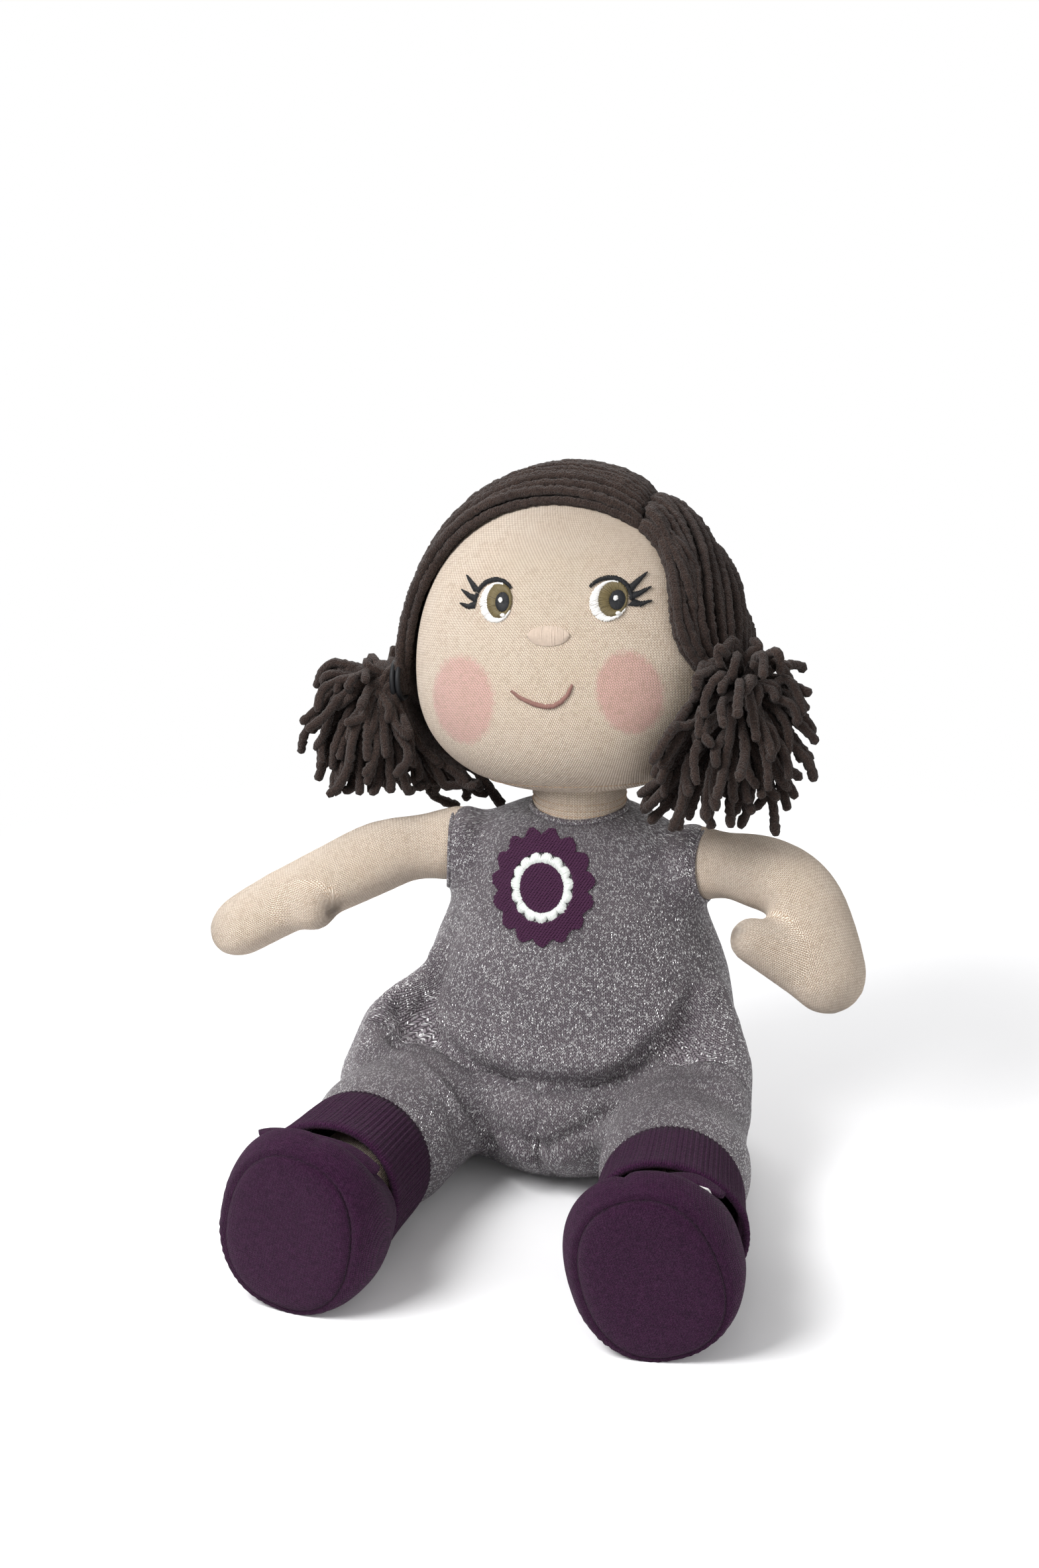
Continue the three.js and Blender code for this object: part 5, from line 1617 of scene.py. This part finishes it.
ring = []
for k in range(210):
    angle = math.tau * k / 210
    radii = (RING_INNER, scallop(angle, RING_OUTER, 1.5))
    c, s = math.cos(angle), math.sin(angle)
    ends = [(FLOWER_AT[0] + radius * c, FLOWER_AT[1] + radius * s) for radius in radii]
    ring.append(satin(*ends, 0.3, 1.1, 0.12, 4, chest_point))
silver = strands("flower_ring_stitches", ring, FLOWER_THREAD, silver_thread, "silver_felt", ["flower_ring"])
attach(silver, "torso")

# %% [markdown]
# The hair is thick chenille cord. Every cord starts at the side parting, runs over the skull and
# disappears in one of two ties, so its path is the short way over a ball from a point of the
# parting to the tie, bent a little where the hairline asks for it. A second layer hides the gaps
# of the first, and a dark cap lies below both, as it would on a real doll.

# %% Hair over the head
PARTING = 29.5
TIE_AT = {"right": Vector((-67, -6, 44)), "left": Vector((60.5, -20, 41))}
PART_FRONT, PART_BACK = 31.0, -118.0
CORD = 1.9
RING_SPACING, PILE_BUMP = 1.15, 0.13
HAIRLINE = [
    (-63, 44), (-60.5, 56), (-57, 72), (-49, 88), (-36, 100), (-18, 107.5), (0, 109.5), (16, 106.5),
    (31, 100), (36, 88), (41, 72), (44, 56), (46, 44),
]
NAPE = 14.0


def over_head(unit, lift):
    """A point over the skull in the direction of a point of the unit sphere, in the head's frame."""
    low_down, spread, rise, around, depth, tall = egg(unit)
    across = HEAD_HALF_WIDTH * spread * unit.x / around
    off = Vector((across, depth * spread * unit.y / around, tall * rise))
    flat = spread ** (0.4 if low_down else 0.0)
    up = rise ** (1.4 if low_down else 1.0) / tall
    out = Vector((flat * off.x / HEAD_HALF_WIDTH**2, flat * off.y / depth**2, up)).normalized()
    return HEAD_MIDDLE + off + out * lift


def unit_of(spot):
    """The direction from the middle of the head, on the unit sphere that over_head takes."""
    off = Vector(spot) - HEAD_MIDDLE
    depth = HEAD_FRONT if off.y < 0 else HEAD_BACK
    tall = HEAD_CROWN if off.z > 0 else HEAD_JAW
    return Vector((off.x / HEAD_HALF_WIDTH, off.y / depth, off.z / tall)).normalized()


def parting_point(angle):
    """The parting's direction, from the forehead over the crown to the nape."""
    across = PARTING / HEAD_HALF_WIDTH
    rest_of = math.sqrt(1 - across**2)
    turn = math.radians(angle)
    return Vector((across, -rest_of * math.sin(turn), rest_of * math.cos(turn)))


def chenille_path(points):
    """Even rings along a path, some thicker and some thinner, as pile cord is."""
    spots = np.array([tuple(p) for p in points])
    travel = travelled(spots)
    count = max(int(travel[-1] / RING_SPACING), 3)
    even = np.linspace(0, travel[-1], count)
    made = []
    for i, distance in enumerate(even):
        spot = [np.interp(distance, travel, spots[:, k]) + RANDOM.gauss(0, 0.11) for k in range(3)]
        thick = 1 + RANDOM.uniform(-PILE_BUMP, PILE_BUMP)
        if i in (0, count - 1):
            thick = 0.6
        made.append((from_head(spot), thick))
    return made


def in_tie(side, radius):
    """A random place inside a tie, in the head's frame."""
    spin = RANDOM.uniform(0, math.tau)
    reach = radius * math.sqrt(RANDOM.random())
    return TIE_AT[side] + Vector((0, reach * math.cos(spin), reach * math.sin(spin)))


def combed(side, share, lift, loose=0.0):
    """One cord from the parting to the tie. share runs from the forehead to the nape."""
    start = parting_point(PART_FRONT + (PART_BACK - PART_FRONT) * share)
    end = unit_of(TIE_AT[side])
    angle = start.angle(end)
    if side == "right":
        near = 1 - eased(share, 0.0, 0.4)
        bias, late = Vector((-0.02, 0.15 * near, 0.13 * near)), 1.0
    else:
        bias, late = Vector((-0.12, -0.24, 0.02)) * (1 - eased(share, 0.05, 0.6)), 1.9
    sway = Vector([RANDOM.gauss(0, 0.022) for _ in range(3)])
    phase, curl = RANDOM.uniform(0, math.tau), RANDOM.gauss(0, 0.010)
    made = []
    for i in range(33):
        t = i / 32
        way = (start * math.sin((1 - t) * angle) + end * math.sin(t * angle)) / math.sin(angle)
        skewed = math.sin(math.pi * t**late)
        wave = Vector((curl, -curl, curl)) * math.sin(9 * t + phase) * math.sin(math.pi * t)
        way = (way + bias * skewed + sway * math.sin(math.pi * t) + wave).normalized()
        rise = lift * (1 - math.exp(-(t + 0.01) / 0.035)) + 2.0 * t**3
        rise += loose * math.sin(math.pi * t) + 0.7 * math.sin(7 * t + 2 * phase) * math.sin(math.pi * t)
        made.append(over_head(way, rise))
    knot = in_tie(side, 4.6)
    pulled = [spot.lerp(knot, eased(i / 32, 0.84, 1.0)) for i, spot in enumerate(made)]
    return chenille_path(pulled)


STRAY = [((47, -26, 78), 0.0, 5.2), ((45, -27, 69), 0.02, 5.6), ((50, -22, 84), 0.04, 5.4)]
HAIR_LAYERS = {"right": [(42, 1.9), (34, 4.6)], "left": [(34, 1.8), (24, 4.2)]}
for side, layers in HAIR_LAYERS.items():
    cords = []
    for number, (count, lift) in enumerate(layers):
        for i in range(count):
            share = (i + 0.5 * number + RANDOM.uniform(-0.2, 0.2)) / (count - 0.5)
            cords.append(combed(side, min(max(share, 0.0), 1.0), lift, RANDOM.uniform(-0.3, 0.4)))
    if side == "left":
        for tip, from_share, rise in STRAY:
            start, end = parting_point(PART_FRONT - 8 + from_share * 100), unit_of(tip)
            way = [over_head(start.slerp(end, k / 12), rise + 0.6 * math.sin(k)) for k in range(13)]
            cords.append(chenille_path(way))
    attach(strands(f"hair_{side}_cords", cords, CORD, yarn_hair, "yarn_hair", [f"hair_{side}"]), "head")


def under_hair(spot):
    """Whether a point of the head lies well under the hair."""
    inset = spot.x - 8 * eased(spot.x, 22, 34)
    line = np.interp(inset, [p[0] for p in HAIRLINE], [p[1] for p in HAIRLINE])
    if spot.z < NAPE + 2:
        return False
    return spot.y > 2 or (spot.z > 52 and (spot.z > line + 5 or not -62 < spot.x < 55))


cap_bm = ball(96, 80, lambda unit: from_head(over_head(unit, 0.9)))
bare = [face for face in cap_bm.faces if not under_hair(to_head(face.calc_center_median() / MM))]
bmesh.ops.delete(cap_bm, geom=bare, context="FACES")
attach(add_wall(piece("hair_cap", cap_bm, yarn_hair, "yarn_hair"), 0.4), "head")

# %% [markdown]
# Each bunch is the same cords after the tie. They leave it sideways, bend over and hang, and they
# were cut to about one length, so their ends make a round mop. A few escape it.

# %% Bunches
BUNCH = {
    "right": (Vector((-81, 0, 20)), Vector((27, 24, 35))),
    "left": (Vector((58, -29, 25)), Vector((36, 27, 41))),
}
BUNCH_FOOT, BUNCH_CORD = {"right": -10.0, "left": -15.0}, 1.85
TIE_RADIUS = 7.0


def outside_head(spot, room):
    """The point itself, or the nearest over the head where it would lie inside."""
    unit = unit_of(spot)
    skull = over_head(unit, room)
    if (spot - HEAD_MIDDLE).length < (skull - HEAD_MIDDLE).length:
        return skull
    return spot


def mop_cord(side, aim, fullness, droop):
    """A cord from the tie to the bunch's surface in the direction aim."""
    middle, half = BUNCH[side]
    outward = Vector((SIGN[side], 0.25 if side == "right" else -0.35, 0.1)).normalized()
    root = in_tie(side, 4.8)
    tip = middle + Vector((aim.x * half.x, aim.y * half.y, aim.z * half.z)) * fullness
    tip.z = max(tip.z, BUNCH_FOOT[side])
    lean = (tip - root) * 0.25
    first = root + outward * 9 + Vector((lean.x * 0.5, lean.y * 1.4, max(lean.z, -2) + 2))
    second = tip + Vector((0, 0, droop)) + (middle - tip) * 0.12
    sway = Vector([RANDOM.gauss(0, 1.5) for _ in range(3)])
    curl = Vector([RANDOM.gauss(0, 2.6) for _ in range(3)])
    phase, pace = RANDOM.uniform(0, math.tau), RANDOM.uniform(7, 12)
    made = []
    for i in range(25):
        t = i / 24
        spot = root * (1 - t) ** 3 + first * 3 * t * (1 - t) ** 2
        spot = spot + second * 3 * t**2 * (1 - t) + tip * t**3
        spot += sway * math.sin(pace * t + phase) * t + curl * max(t - 0.7, 0.0) ** 2 * 11
        shoulder_top = BUNCH_FOOT[side] + 12 * eased(abs(spot.y + 4), 24, 16)
        spot.z = max(spot.z, shoulder_top)
        if side == "left" and spot.y < 0:
            spot.x = max(spot.x, float(np.interp(spot.z, [-12, 5, 25, 44], [21, 29, 41, 54])))
        made.append(outside_head(spot, 3.0 + 4.5 * min(t * 4, 1.0)))
    return chenille_path(made)


for side, count in (("right", 116), ("left", 156)):
    cords = []
    for i in range(count):
        level = 0.8 - 1.75 * (i + 0.5) / count
        turn = i * 2.39996
        wide = math.sqrt(max(1 - min(abs(level), 1.0) ** 2, 0.0))
        aim = Vector((wide * math.cos(turn), wide * math.sin(turn), max(level, -0.98)))
        cords.append(mop_cord(side, aim, RANDOM.uniform(0.7, 1.0), RANDOM.uniform(6, 22)))
    for _ in range(22 if side == "right" else 0):
        aim = Vector((RANDOM.uniform(0.7, 1.7), RANDOM.uniform(0.1, 0.9), RANDOM.uniform(-0.95, -0.6)))
        cords.append(mop_cord(side, aim, 1.0, RANDOM.uniform(2, 10)))
    node_name, body = f"pigtail_{side}", f"bunch_{side}"
    mop = strands(f"bunch_{side}_cords", cords, BUNCH_CORD, yarn_hair, "yarn_hair", [node_name])
    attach(mop, body)
    turns = [a * math.tau / 40 for a in range(41)]
    ring = [Vector((0, TIE_RADIUS * math.cos(turn), TIE_RADIUS * math.sin(turn))) for turn in turns]
    beside = [Vector((x, 0, 0)) for x in (-1.1, 1.1)]
    ties = [[(from_head(TIE_AT[side] + p + off), 1.0) for p in ring] for off in beside]
    tie = strands(f"tie_band_{side}", ties, 1.1, black_thread, "tie_band", [f"hair_tie_{side}"], 2)
    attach(tie, body)
